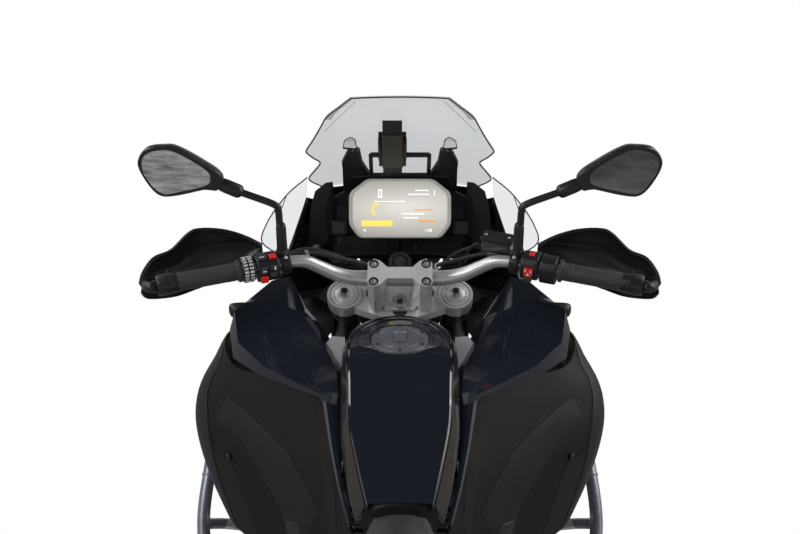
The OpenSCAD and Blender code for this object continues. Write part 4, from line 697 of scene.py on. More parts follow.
def make_display():
    outline = rounded(mirrored_outline(DISPLAY_HALF), 9)
    v, f = rings([[(x * k, y * k, z) for x, y in outline] for k,
                  z in [(0.90, -28), (0.99, -24), (1.0, -3), (0.985, 1.2), (0.96, 2.2), (0.935, 2.0),
                        (0.925, 0.6)]])
    piece("display_case", v, f, "pale_rim", "chassis", DISPLAY, replaces=("display",))
    v, f = rings([[(x * k, y * k, z) for x, y in outline] for k, z in
                  [(0.93, -29.5), (1.004, -25), (1.012, -6), (1.004, -4), (0.95, -4)]])
    piece("display_back", v, f, "housing", "chassis", DISPLAY)
    v, f = prism(scaled(outline, 0.927), 0.5, 0.9)
    piece("display_face", v, f, "dial", "chassis", DISPLAY, smooth_angle=0)
    inner = rounded(mirrored_outline([(70, 46), (88, 34), (90, 24), (90, -30), (72, -50)]), 8)
    v, f = prism(inner, 0.9, 1.05)
    piece("display_field", v, f, "dial", "chassis", DISPLAY, smooth_angle=0)
    z = 1.05
    white = join(digits("0", -43, 22, 15, z), digits("11:25", 48, -46, 5.0, z),
                 digits("14", -74, -46, 5.0, z), digits("1", 64, 26, 10, z),
                 box(30, 56, 35, 36.6, z, z + 0.3), box(16, 58, 27, 28.6, z, z + 0.3),
                 box(4, 48, -11.4, -10, z, z + 0.3), box(6, 37, -19.4, -18, z, z + 0.3),
                 *[box(-51 + 7 * k, -46.4 + 7 * k, 13, 14.6, z, z + 0.3) for k in range(9)])
    piece("display_numbers", *white, "white_glow", "chassis", DISPLAY, smooth_angle=0)
    arc = [(-38 + 19 * math.cos(a), -3 + 14 * math.sin(a)) for a in [math.radians(100 + 9 * k)
                                                                     for k in range(16)]]
    arc_in = [(-38 + 15 * math.cos(a), -3 + 10.5 * math.sin(a))
              for a in [math.radians(235 - 9 * k) for k in range(16)]]
    yellow = join(prism(arc + arc_in, z, z + 0.3), box(-76, -15, -35, -24, z, z + 0.3))
    piece("display_gauge", *yellow, "amber_glow", "chassis", DISPLAY, smooth_angle=0)
    orange = join(box(29, 64, -4, -1.4, z, z + 0.3), box(37, 72, -27, -23, z, z + 0.3))
    piece("display_bars", *orange, "orange_glow", "chassis", DISPLAY, smooth_angle=0)


RISER_Y = (368 - FOOT_Y) * math.cos(RAKE) + 1066 * math.sin(RAKE)
BAR_RISE = (FOOT_Y - 368) * math.sin(RAKE) + 1066 * math.cos(RAKE)
YOKE_TOP = 1116
CLAMP_TOP = BAR_RISE + 21
FORK_TOP = 1122
FORK_X = 108
TUBE_Y = 32


def make_yoke():
    """Bolts of the bar clamp, the stem nut, and the caps on the fork tubes."""
    caps = []
    for x in (-49, 49):
        for y in (-19, 19):
            caps.append(moved(bolt_head(6.0, 3.4), put(x, RISER_Y + y, CLAMP_TOP - 4)))
    piece("clamp_bolts", *join(*caps), "polished", "steering", STEER)
    ring = lathe([(6.2, 0), (9.4, 0), (9.0, 1.2), (6.6, 1.2)], 32, closed=True)
    piece("clamp_recesses", *join(*[moved(ring, put(x, RISER_Y + y, CLAMP_TOP - 0.6))
                                   for x in (-49, 49) for y in (-19, 19)]), "shadow", "steering", STEER)
    nut = join(moved(lathe([(CORE, 0), (17, 0), (17, 2), (15, 4.5), (9, 5), (8, 2), (CORE, 2)], 40),
                     put(0, 14, YOKE_TOP + 7)),
               *[moved(lathe([(CORE, 0), (2.2, 0), (1.6, 1.2), (CORE, 1.2)], 12), put(x, y, YOKE_TOP + 7))
                 for x in (-20, 20) for y in (6, 32)])
    piece("stem_nut", *nut, "polished", "steering", STEER)
    hole = lathe([(CORE, 0), (5.5, 0), (5.2, 0.6), (CORE, 0.6)], 24)
    piece("stem_socket", *moved(hole, put(0, 14, YOKE_TOP + 9.3)), "dark_metal", "steering", STEER)
    rims, faces, dots, cones, hexes = [], [], [], [], []
    for s in (-1, 1):
        at = put(s * FORK_X, TUBE_Y, 0)
        rims.append(moved(lathe([(26.6, FORK_TOP - 7), (34, FORK_TOP - 7), (34, FORK_TOP - 1.5),
                                 (32.5, FORK_TOP + 1.2), (28.6, FORK_TOP + 1.8), (27.4, FORK_TOP - 1)],
                                72, closed=True), at))
        faces.append(moved(lathe([(CORE, FORK_TOP - 4), (26.6, FORK_TOP - 4), (26.6, FORK_TOP + 0.5),
                                  (24.5, FORK_TOP + 1.2), (15, FORK_TOP + 1.6), (14, FORK_TOP + 2.4),
                                  (CORE, FORK_TOP + 2.4)], 72), at))
        for k in range(20):
            a = 2 * math.pi * k / 20
            dots.append(moved(lathe([(CORE, 0), (1.3, 0), (1.0, 0.7), (CORE, 0.7)], 10),
                              at @ put(20 * math.cos(a), 20 * math.sin(a), FORK_TOP + 1.3)))
        cones.append(moved(lathe([(CORE, FORK_TOP + 2), (12.5, FORK_TOP + 2), (11.5, FORK_TOP + 5),
                                  (8, FORK_TOP + 12), (6, FORK_TOP + 12.6), (CORE, FORK_TOP + 12.6)], 48),
                           at))
        hexes.append(moved(lathe([(CORE, FORK_TOP + 11), (6.6, FORK_TOP + 11), (6.8, FORK_TOP + 13),
                                  (5.6, FORK_TOP + 15.4), (2.4, FORK_TOP + 15.6), (2.2, FORK_TOP + 14),
                                  (CORE, FORK_TOP + 14)], 24), at))
    piece("fork_rims", *join(*rims), "silver", "steering", STEER)
    piece("fork_caps", *join(*faces), "silver", "steering", STEER)
    piece("fork_cap_dots", *join(*dots), "dark_metal", "steering", STEER)
    piece("fork_adjusters", *join(*cones), "polished", "steering", STEER)
    piece("fork_knobs", *join(*hexes), "moulded_dark", "steering", STEER)
    # Ignition switch: ring, barrel and key slot
    barrel = join(lathe([(CORE, 1100), (22.6, 1100), (23.4, 1153), (22, 1157.5), (17.5, 1158.5),
                         (16.5, 1156), (CORE, 1156)], 56))
    at = put(0, 84, 0)
    piece("ignition_barrel", *moved(barrel, at), "housing", "steering", STEER)
    lock = lathe([(CORE, 1156), (11, 1156), (10.4, 1158.2), (CORE, 1158.2)], 40)
    piece("ignition_lock", *moved(lock, at), "dark_metal", "steering", STEER)
    slot = prism([(-5, -1.1), (5, -1.1), (5, 1.1), (-5, 1.1)], 1158.1, 1158.5)
    piece("ignition_slot", *moved(slot, at), "moulded_dark", "steering", STEER, smooth_angle=0)


BAR_BENDS = [(64, 368, 1066.3), (96, 366, 1070), (124, 362, 1081), (149, 357, 1097), (173, 351, 1112)]


def make_handlebar():
    right = [Vector((59, 368, 1066))] + smooth(BAR_BENDS + [BAR_BEND, bar_at(214)], 8) + [BAR_TIP]
    path = [Vector((-p.x, p.y, p.z)) for p in reversed(right)] + right
    radii = [15 + (11 - 15) * max(0.0, min(1.0, (abs(p.x) - 62) / 130)) for p in path]
    piece("handlebar_tube", *sweep(path, radii, 32), "bar", "steering", replaces=("handlebar",))


GRIP_X = 290
WEIGHT_LEN = 35
GRIP_LEN = (BAR_TIP - bar_at(GRIP_X)).length


def make_grips():
    rubber, rings_out, ends, screws = [], [], [], []
    axis = (BAR_TIP - BAR_BEND).normalized()
    base = along(bar_at(GRIP_X), axis)
    profile = [(11.2, 0), (20.5, 0), (20.8, 2), (20.5, 4.6), (17.6, 6), (16.4, 9)]
    profile += [(16.2 + 0.5 * math.sin(math.pi * k / 20), 9 + (GRIP_LEN - 15) * k / 20)
                for k in range(1, 20)]
    profile += [(16.6, GRIP_LEN - 4), (16.2, GRIP_LEN - 1), (11.2, GRIP_LEN - 1)]
    grip = moved(lathe(profile, 48, closed=True), base)
    ribs = [moved(lathe([(16.3, z), (17.2, z + 0.8), (17.2, z + 2.0), (16.3, z + 2.8)], 48, closed=True),
                  base) for z in [12 + 5 * k for k in range(3)]]
    weight = moved(lathe([(CORE, GRIP_LEN), (16.5, GRIP_LEN), (16.8, GRIP_LEN + 2), (16.8, GRIP_LEN + 13),
                          (17.2, GRIP_LEN + 13.2), (18.9, GRIP_LEN + 14.6), (19, GRIP_LEN + 33),
                          (17.4, GRIP_LEN + 36), (8, GRIP_LEN + 36.4), (7, GRIP_LEN + 34),
                          (CORE, GRIP_LEN + 34)], 48), base)
    screw = moved(bolt_head(6.4, 3.0), base @ put(0, 0, GRIP_LEN + 34))
    band = moved(lathe([(17.0, GRIP_LEN + 10.4), (17.9, GRIP_LEN + 10.8), (17.9, GRIP_LEN + 12.8),
                        (17.0, GRIP_LEN + 13.2)], 48, closed=True), base)
    for shape, store in ((grip, rubber), (weight, ends), (screw, screws), (band, rings_out)):
        store += [shape, mirrored(shape)]
    for rib in ribs:
        rubber += [rib, mirrored(rib)]
    piece("grip_rubber", *join(*rubber), "grip", "steering", replaces=("grips",))
    piece("bar_weights", *join(*ends), "housing", "steering")
    piece("bar_weight_screws", *join(*screws), "polished", "steering")
    piece("bar_weight_bands", *join(*rings_out), "dark_metal", "steering")


def block(x0, x1, y0, y1, z0, z1, place):
    return moved(box(x0, x1, y0, y1, z0, z1), place)


def housing_ring(x0, w, up, front, back, down, k=1.0):
    """Section of a housing round the bar at x0, drawn fore and aft, and extruded outward by w."""
    outline = rounded([(-back, -down * 0.6), (-back * 0.6, -down), (front * 0.5, -down),
                       (front, -down * 0.4), (front, up * 0.5), (front * 0.6, up), (-back * 0.6, up),
                       (-back, up * 0.5)], 5, 3)
    return rings([[(x, a * s, b * s) for a, b in outline] for x, s in
                  ((0, 0.93 * k), (2, k), (w - 2, k), (w, 0.93 * k))]), on_bar(x0)


def make_switchgear():
    """Control housings on both grips, with their buttons and rings."""
    left = []
    right = []
    for side, rows in ((left, ((203, 18, 17, 20, 18, 18), (224.5, 41.5, 22, 26, 24, 24))),
                       (right, ((203, 18, 17, 20, 18, 18), (224.5, 32.5, 24, 24, 24, 22),
                                (258, 30, 23, 22, 24, 24)))):
        for row in rows:
            shape, place = housing_ring(*row)
            side.append(moved(shape, place))
    # Grooved ring inboard of the left grip
    axis = (BAR_TIP - BAR_BEND).normalized()
    ring_at = along(bar_at(267), axis)
    piece("controls_left", *mirrored(join(*left)), "housing", "steering", bevel=1.2,
          replaces=("switchgear",))
    piece("controls_right", *join(*right), "housing", "steering", bevel=1.2)
    body = lathe([(11.4, 0), (21, 0), (22.4, 1.5), (22.4, 20), (21, 22), (11.4, 22)], 56, closed=True)
    piece("left_ring_core", *mirrored(moved(body, ring_at)), "housing", "steering")
    teeth = []
    for k in range(22):
        a = 2 * math.pi * k / 22
        for z0, z1 in ((2.5, 9.5), (12.5, 19.5)):
            bar = box(22.0, 23.9, -2.1, 2.1, z0, z1)
            teeth.append(moved(bar, ring_at @ Matrix.Rotation(a, 4, "Z")))
    piece("left_ring_marks", *mirrored(join(*teeth)), "silver", "steering", bevel=0.5)
    # Buttons on the rider's side and on top
    place = on_bar(224.5)
    red = join(block(4, 17, -17, -3, 21, 26.5, place), block(24, 38, -30.5, -24, -18, -6, place))
    piece("left_red_buttons", *mirrored(red), "red", "steering", bevel=1.6)
    grey = join(block(21, 38, -14, 4, 21, 25, place), block(5, 18, -28, -24, 4, 14, place),
                block(6, 20, -27, -24, -10, 0, place), block(24, 36, -27.5, -24, -2, 12, place))
    piece("left_keys", *mirrored(grey), "key_grey", "steering", bevel=1.4)
    lights = join(block(9, 12, -29, -28, 6, 12, place), block(27, 33, -28.4, -27.4, 4, 6, place),
                  block(26, 34, -10, -8, 25, 25.4, place))
    piece("left_key_marks", *mirrored(lights), "white_paint", "steering", smooth_angle=0)
    rocker = join(block(9, 25, -30, -23, -8, 9, place), block(12, 22, -8, 4, 23, 27, place))
    piece("right_red_rocker", *rocker, "red", "steering", bevel=1.6)
    marks = join(block(15, 19, -30.4, -29.6, -5, -1, place), block(11, 13, -30.4, -29.6, 2, 6, place),
                 block(21, 23, -30.4, -29.6, 2, 6, place))
    piece("right_rocker_marks", *marks, "white_paint", "steering", smooth_angle=0)
    keys = join(block(6, 26, -27, -23, 11, 18, place), block(8, 24, -28, -23, -19, -11, place))
    piece("right_keys", *keys, "key_grey", "steering", bevel=1.2)
    # Clamp screws on both inner clamps
    screws = []
    for x, y in ((207, 15), (207, -14)):
        screw = moved(bolt_head(3.6, 3.2), on_bar(x) @ put(5, y * 0.9, 16.5))
        screws += [screw, mirrored(screw)]
    piece("clamp_screws", *join(*screws), "polished", "steering")


LEVER_PATH = [(0, 34, -6), (36, 42, -10), (100, 58, -14), (150, 60, -14), (188, 56, -14), (204, 60, -14)]


def make_levers():
    """Clutch and brake levers, their perches, the master cylinder and its reservoir."""
    path = smooth(LEVER_PATH, 8)
    blades = []
    n = len(path)
    sections = []
    for i, p in enumerate(path):
        t = i / (n - 1)
        a = (path[min(i + 1, n - 1)] - path[max(i - 1, 0)]).normalized()
        side = Vector((a.y, -a.x, 0)).normalized()
        deep = 7 - 2.4 * math.sin(math.pi * min(1, t * 1.1)) + (3 if t > 0.94 else 0)
        tall = 6.4 - 2.2 * t + (3 if t > 0.94 else 0)
        sections.append([tuple(p + side * deep * math.cos(b) + Vector((0, 0, tall * math.sin(b))))
                         for b in [2 * math.pi * k / 16 for k in range(16)]])
    blade = moved(rings(sections), on_bar(214))
    blades += [blade, mirrored(blade)]
    piece("lever_blades", *join(*blades), "lever", "steering", replaces=("levers",))
    perch = join(block(-4, 20, 20.5, 42, -16, 4, on_bar(204)), block(-2, 14, 30, 50, -12, 0, on_bar(214)))
    piece("lever_perches", *both_sides(perch), "housing", "steering", bevel=2.2)
    pins = moved(bolt_head(5, 3), on_bar(214) @ put(4, 40, 0.4))
    piece("lever_pins", *both_sides(pins), "polished", "steering")
    at = on_bar(196)
    turn = spun(90, "Y")
    master = join(moved(lathe([(CORE, 0), (9.5, 0), (10.4, 3), (10.4, 40), (8, 46), (CORE, 46)], 32),
                        at @ put(-42, 24, -4) @ turn),
                  moved(lathe([(CORE, 0), (6, 0), (6, 6), (CORE, 6)], 24), at @ put(-8, 24, 3.6)))
    piece("brake_cylinder", *master, "housing", "steering")
    tank = rounded([(-56, 10), (4, 10), (4, 44), (-56, 44)], 7, 4)
    v, f = rings([[(x + (dx - 1) * (x + 26), y + (dx - 1) * (y - 27), z) for x, y in tank]
                  for z, dx in ((8, 0.86), (11, 0.9), (27, 0.94))])
    piece("brake_reservoir", v, f, "reservoir", "steering", at)
    v, f = rings([[(x + (dx - 1) * (x + 26), y + (dx - 1) * (y - 27), z) for x, y in tank]
                  for z, dx in ((26, 0.96), (27, 1.0), (32, 1.0), (34, 0.97), (34.2, 0.8), (33.2, 0.78))])
    piece("brake_reservoir_lid", v, f, "housing", "steering", at)
    lid = join(*[moved(bolt_head(2.8, 1.6), at @ put(x, 27, 33.6)) for x in (-48, -4)])
    piece("reservoir_screws", *lid, "polished", "steering")
    clutch = join(moved(lathe([(CORE, 0), (6, 0), (7.2, 3), (7.2, 26), (5.4, 30), (5.4, 36), (CORE, 36)],
                              32), at @ put(-30, 26, -6) @ turn))
    piece("clutch_adjuster", *mirrored(clutch), "housing", "steering")
    wheel = moved(lathe([(5.4, -3), (8.6, -3), (8.6, 3), (5.4, 3)], 24, closed=True),
                  at @ put(-32, 26, -6) @ turn)
    piece("clutch_adjuster_wheel", *mirrored(wheel), "polished", "steering")


# Mirrors, hand guards and screen
MIRROR = [(311, 1292), (344, 1320), (388, 1347), (413, 1350), (441, 1345), (458, 1318), (446, 1281),
          (426, 1256), (397, 1255), (339, 1268), (322, 1266)]
MIRROR_GLASS = [(333, 1289), (338, 1304), (365, 1325), (396, 1342), (420, 1343), (442, 1335), (453, 1313),
                (441, 1283), (422, 1260), (380, 1266), (341, 1277)]
MIRROR_STEM = [(215, 341, 1136), (217, 341, 1198), (218, 341.5, 1222), (226, 342.5, 1235),
               (284, 345, 1258), (317, 346.5, 1273)]
MIRROR_MID = Vector((388, 1303))
MIRROR_Y = 334


def loop_2d(points, n):
    return [(p.x, p.y) for p in smooth([(x, z, 0) for x, z in points], n, closed=True)]


def make_mirrors():
    outline = loop_2d(MIRROR, 6)
    glass = loop_2d(MIRROR_GLASS, 6)
    lip = [(MIRROR_MID.x + (x - MIRROR_MID.x) * 1.02, MIRROR_MID.y + (z - MIRROR_MID.y) * 1.02) for x,
           z in glass]

    def ring(k, y, pts=outline):
        return [(MIRROR_MID.x + (x - MIRROR_MID.x) * k, y, MIRROR_MID.y + (z - MIRROR_MID.y) * k) for x,
                z in pts]
    shell_shape = rings([ring(1.0, MIRROR_Y + 2.5, lip), ring(1.0, MIRROR_Y - 0.6, lip),
                         ring(0.975, MIRROR_Y - 1.0), ring(0.995, MIRROR_Y + 1.5),
                         ring(1.0, MIRROR_Y + 6), ring(0.985, MIRROR_Y + 13), ring(0.93, MIRROR_Y + 21),
                         ring(0.82, MIRROR_Y + 28), ring(0.64, MIRROR_Y + 33), ring(0.4, MIRROR_Y + 36),
                         ring(0.15, MIRROR_Y + 37)])
    stem = sweep(smooth(MIRROR_STEM, 8), 6.5, 24, (0, 1, 0))
    base = moved(lathe([(CORE, 0), (10.5, 0), (10.8, 3), (9.6, 14), (9.2, 54), (8.0, 60), (6.6, 62),
                        (CORE, 62)], 36), put(215, 341, 1135))
    nut = moved(prism([(11.5 * math.cos(math.radians(60 * k)), 11.5 * math.sin(math.radians(60 * k)))
                       for k in range(6)], 0, 9), put(215, 341, 1135))
    collar_axis = Vector(MIRROR_STEM[5]) - Vector(MIRROR_STEM[4])
    collar = moved(lathe([(CORE, -4), (8.0, -4), (11.6, 0), (12.6, 4), (12.6, 28), (12, 34), (9.4, 48),
                          (CORE, 50)], 36), along(MIRROR_STEM[4], collar_axis))
    both = join(shell_shape, stem, base, collar)
    piece("mirror_shells", *both_sides(both), "satin_black", "steering", replaces=("mirrors",))
    piece("mirror_nuts", *both_sides(nut), "dark_metal", "steering", bevel=0.8)
    # Glass faces that carry the painted reflections
    face = rings([ring(0.995, MIRROR_Y + 0.4, glass), ring(1.0, MIRROR_Y - 0.4, glass)])
    piece("mirror_glass_left", *mirrored(face), "mirror_left", "steering", smooth_angle=0,
          replaces=("mirror_glass",))
    piece("mirror_glass_right", *face, "mirror_right", "steering", smooth_angle=0)


GUARD_ROWS = [(467, 292, 1104, 1080), (466, 318, 1111, 1056), (452, 350, 1122, 1036),
              (424, 372, 1126, 1028), (392, 385, 1154, 1034), (371, 391, 1160, 1040),
              (330, 398, 1154, 1058), (290, 402, 1138, 1082), (262, 402, 1118, 1100)]


def make_hand_guards():
    columns = []
    for x, y, top, low in GUARD_ROWS:
        pts = []
        for k in range(13):
            t = k / 12
            # A rounded upper edge that curls back, a fold below it, and a plain lower half
            fold = 3.2 * math.exp(-((t - 0.42) / 0.07) ** 2)
            pts.append(Vector((x, y + 14 * math.sin(math.pi * t) + fold - 5 * math.exp(-t * 16),
                               top + (low - top) * t)))
        columns.append(pts)
    grid = fine_grid(columns, 6, 2)
    shape = shell(grid, 4)
    piece("hand_guards_outer", *both_sides(shape), "satin_black", "steering", smooth_angle=50,
          replaces=("hand_guards",))
    edge = [row[0] + Vector((0, -2, 0)) for row in grid]
    rim = sweep(edge, 3.2, 14, (0, 1, 0))
    lower = sweep([row[-1] + Vector((0, -2, 0)) for row in grid], 2.6, 14, (0, 1, 0))
    piece("hand_guard_rims", *join(both_sides(rim), both_sides(lower)), "moulded", "steering")
    a, b = bar_at(BAR_TIP.x + WEIGHT_LEN), Vector((466, 303, 1094))
    arm = sweep(smooth([a, bar_at(BAR_TIP.x + 47), b], 8), [11, 11, 11, 10.5, 10, 9.6, 9.2, 9, 9, 9, 9,
                                                            8.8, 8.6, 8.4, 8.2, 8, 8], 24)
    plate = moved(lathe([(CORE, 0), (15, 0), (15, 3), (12, 5), (CORE, 5)], 32),
                  along((461, 303, 1094), (1, 0.2, 0)))
    piece("hand_guard_mounts", *join(both_sides(arm), both_sides(plate)), "housing", "steering",
          bevel=0.6)
    screw = moved(bolt_head(5, 3), along((467.4, 303.6, 1094), (1, 0.2, 0)))
    piece("hand_guard_screws", *both_sides(screw), "polished", "steering")


SCREEN_TOP = Vector((0, 458, 1393))
SCREEN_RUN = Vector((0, 202, -266))
SCREEN_OUTLINE = [(0, 89), (0.03, 97), (0.08, 110), (0.17, 134), (0.27, 147), (0.36, 158), (0.45, 170),
                  (0.525, 180.5), (0.56, 180), (0.62, 171), (0.68, 159), (0.72, 160), (0.78, 170),
                  (0.87, 184), (0.93, 178), (1, 160)]
DEFLECTOR = [[(188, 612, 1160), (226, 614, 1126), (254, 616, 1090)],
             [(193, 606, 1112), (240, 610, 1080), (277, 612, 1054)],
             [(202, 602, 1060), (246, 604, 1036), (288, 606, 1012)],
             [(217, 594, 1000), (228, 595, 990), (242, 597, 982)]]


def screen_at(t, x):
    return SCREEN_TOP + SCREEN_RUN * t + Vector((x, -28 * (x / 180) ** 2, 0))


def make_screen():
    """Clear screen with its edge strip, moulded side facets and clear wind deflectors."""
    edge = smooth([(w, t, 0) for t, w in SCREEN_OUTLINE], 4)
    grid = [[screen_at(p.y, p.x * u / 8) for u in range(-8, 9)] for p in edge]
    piece("screen_sheet", *shell(grid, 3.6), "screen", "chassis", smooth_angle=60,
          replaces=("windscreen",))
    line = [row[-1] for row in grid]
    top = [Vector(p) for p in grid[0]]
    rim = [Vector((-p.x, p.y, p.z)) for p in reversed(line)] + top[1:-1] + line
    piece("screen_edge", *sweep(rim, 1.5, 10, (0, 1, 0.3)), "edge_dark", "chassis")
    # Raised side facets: a line that runs down inside each edge
    crease = smooth([screen_at(0.02, 80), screen_at(0.1, 96), screen_at(0.2, 118), screen_at(0.32, 142)],
                    6)
    crease = [p + Vector((0, -2.0, -1.4)) for p in crease]
    soft = sweep(crease, 0.5, 8, (0, 1, 0.3))
    # Pale lines along the creases: painted highlights
    piece("screen_creases", *both_sides(soft), "edge_soft", "chassis")
    band = [[screen_at(t, w * k) + Vector((0, 2.4, 2.4)) for k in (0.90, 0.95, 0.985)]
            for t, w in [(p.y, p.x) for p in edge[3:15]]]
    piece("screen_facets", *both_sides(shell(band, -0.8)), "screen_dark", "chassis")
    sheet = fine_grid(DEFLECTOR, 5)
    wing = shell(sheet, -3.6)
    piece("wind_deflectors", *both_sides(wing), "screen", "chassis", smooth_angle=60)
    loop = [row[-1] for row in sheet] + list(reversed(sheet[-1]))[1:]
    ring = sweep(list(reversed(sheet[0]))[::-1][:-1] + loop, 1.4, 10, (0.2, 1, 0.1))
    inner = sweep([row[6] + Vector((0, -1.5, 0)) for row in sheet], 0.9, 8, (0.2, 1, 0.1))
    piece("deflector_edges", *join(both_sides(ring), both_sides(inner)), "edge_dark", "chassis")


BRACKET = [(113.7, 35.7), (114.6, 48), (102.5, 80.5), (86.1, 90.4), (78.3, 84.5), (74, 48), (58.6, 10.6),
           (70, -6.4), (98.8, -41), (102.5, -67.5), (115, -27.9)]


def make_cockpit():
    """Screen brackets with their pale knobs, the carrier behind the display, switches and the covers
    below the display.
    """
    lean = put(0, 590, 1170) @ spun(90 + 24.4, "X")
    plate = moved(prism(rounded(BRACKET, 6, 3), 3.8, 6.6), lean)
    inset = moved(prism(scaled_about(rounded(BRACKET, 5, 3), (92, 12), 0.82), 6.4, 8.2), lean)
    piece("screen_brackets", *both_sides(plate), "satin_black", "chassis", bevel=0.9)
    piece("screen_bracket_insets", *both_sides(inset), "moulded_dark", "chassis", bevel=0.6)
    knob = moved(prism(rounded([(-13, -9), (12, -7), (9, 6), (-2, 13), (-9, 8)], 3, 3), 0, 5),
                 along((97, 545, 1262), (0, -0.75, 0.66)))
    piece("screen_knobs", *both_sides(knob), "pale_knob", "chassis", bevel=0.9)
    ring = moved(prism(rounded([(-15, -11), (14, -9), (11, 8), (-2, 15.5), (-11, 10)], 3, 3), -1.5, 2.6),
                 along((97, 545, 1262), (0, -0.75, 0.66)))
    piece("screen_knob_rims", *both_sides(ring), "satin_black", "chassis", bevel=0.6)
    # Carrier for a navigation unit: rubber block, side clips and screws
    tilt = put(-33, 556, 1196) @ spun(28, "X")
    piece("carrier_cover", *block(-1.6, 38.6, -2, 2, 18, 118, tilt), "carrier_grey", "chassis", bevel=1.2)
    clips = join(block(-9, -1.8, 0, 11, 40, 100, tilt), block(38.8, 46, 0, 11, 40, 100, tilt))
    piece("carrier_clips", *clips, "satin_black", "chassis", bevel=2.2)
    screws = join(*[moved(bolt_head(2.6, 1.6), tilt @ put(x, 0, z) @ spun(90, "X"))
                    for x in (-5.4, 42.4) for z in (52, 88)])
    piece("carrier_screws", *screws, "dark_metal", "chassis")
    # Square switches beside the display, and the covers below it
    pads, keys, marks = [], [], []
    for s in (-1, 1):
        at = along((s * 125, 590.5, 1057), (0, -1, 0.25))
        pads.append(moved(prism(rounded([(-16, -15), (16, -15), (16, 15), (-16, 15)], 4), -9, 4), at))
        keys.append(moved(prism(rounded([(-12, -11), (12, -11), (12, 11), (-12, 11)], 3), 3.5, 6.4), at))
        marks.append(moved(lathe([(CORE, 6.4), (3, 6.4), (3, 6.9), (CORE, 6.9)], 20), at))
    piece("dash_switch_frames", *join(*pads), "satin_black", "chassis", bevel=1.2)
    piece("dash_switch_keys", *join(*keys), "key_grey", "chassis", bevel=1.0)
    piece("dash_switch_marks", *join(*marks), "dark_metal", "chassis")
    cover = [[(x, 588 - 0.0004 * x * x, 1040), (x, 574 - 0.0006 * x * x, 1024),
              (x, 548 - 0.0008 * x * x, 1016)] for x in (-126, -84, -42, -3)]
    grid = fine_grid([[Vector(p) for p in row] for row in cover], 5)
    half = shell(grid, 3)
    piece("dash_covers", *both_sides(half), "satin_black", "chassis", bevel=0.8)
    lugs = join(*[moved(bolt_head(4, 2.4), along((s * x, 566, 1024), (0, -0.5, 0.86))) for s in (-1, 1)
                  for x in (32, 92)])
    piece("dash_cover_screws", *lugs, "dark_metal", "chassis")


def scaled_about(outline, mid, k):
    return [(mid[0] + (x - mid[0]) * k, mid[1] + (y - mid[1]) * k) for x, y in outline]


def make_cables():
    """Switch looms, clutch cable and brake line that run behind the bar, held whole by the fork."""

    def line(points, r, name):
        piece(name, *sweep(smooth(points, 8), r, 14, (0, 1, 0.2)), "rubber", "steering")

    line([(-208, 366, 1112), (-168, 392, 1108), (-120, 404, 1090), (-72, 420, 1068), (-40, 446, 1040),
          (-26, 470, 1010)], 5.0, "switch_loom_left")
    line([(206, 366, 1112), (164, 392, 1106), (118, 408, 1086), (76, 424, 1064), (42, 448, 1036),
          (28, 470, 1008)], 4.2, "switch_loom_right")
    line([(-226, 364, 1110), (-180, 404, 1110), (-126, 424, 1086), (-84, 446, 1050), (-64, 462, 1016)],
         3.4, "clutch_cable")
    line([(180, 378, 1120), (140, 418, 1106), (100, 440, 1074), (76, 458, 1036), (66, 470, 1004)], 3.4,
         "brake_line")
    fitting = join(*[moved(lathe([(3.6, 0), (6.4, 0.6), (6.8, 3), (6.4, 7), (3.6, 8)], 6, closed=True),
                           along((74 - 5 * k, 424 + 5.5 * k, 1062 - 7 * k), (-0.5, 0.55, -0.68)))
                     for k in range(3)])
    piece("brake_line_fitting", *fitting, "polished", "steering", smooth_angle=0)


# Tank cover, filler cap and body panels
CAP_MID = Vector((0, 225, 1023.5))
IN_CAP = Matrix.Translation(CAP_MID) @ spun(-5.7, "X")
CAP_R = 52
COVER_BACK = [(165, 91, 1029.5, 9, 24), (112, 88, 1014, 12, 30), (40, 84, 984, 14, 36),
              (-30, 69, 950, 16, 42), (-88, 54, 921, 16, 42)]


def cover_rows():
    rows = []
    for a in range(78, -1, -6):
        s, c = math.sin(math.radians(a)), math.cos(math.radians(a))
        rows.append((CAP_MID.y + 96 * s, 92 * c, CAP_MID.z - 9.6 * s - (4 * max(0.0, (a - 56) / 20)),
                     2 + 7 * c, 24))
    return rows + COVER_BACK


def cut_away(target, shape, place):
    """Takes a closed shape out of a piece's mesh."""
    cutter = piece("cutter", *shape, "moulded", "chassis", place, smooth_angle=0)
    mod = target.modifiers.new("cut", "BOOLEAN")
    mod.object = cutter
    mod.solver = "EXACT"
    bpy.context.view_layer.update()
    done = bpy.data.meshes.new_from_object(target.evaluated_get(bpy.context.evaluated_depsgraph_get()))
    target.modifiers.remove(mod)
    target.data = done
    bpy.data.objects.remove(cutter)
    return target


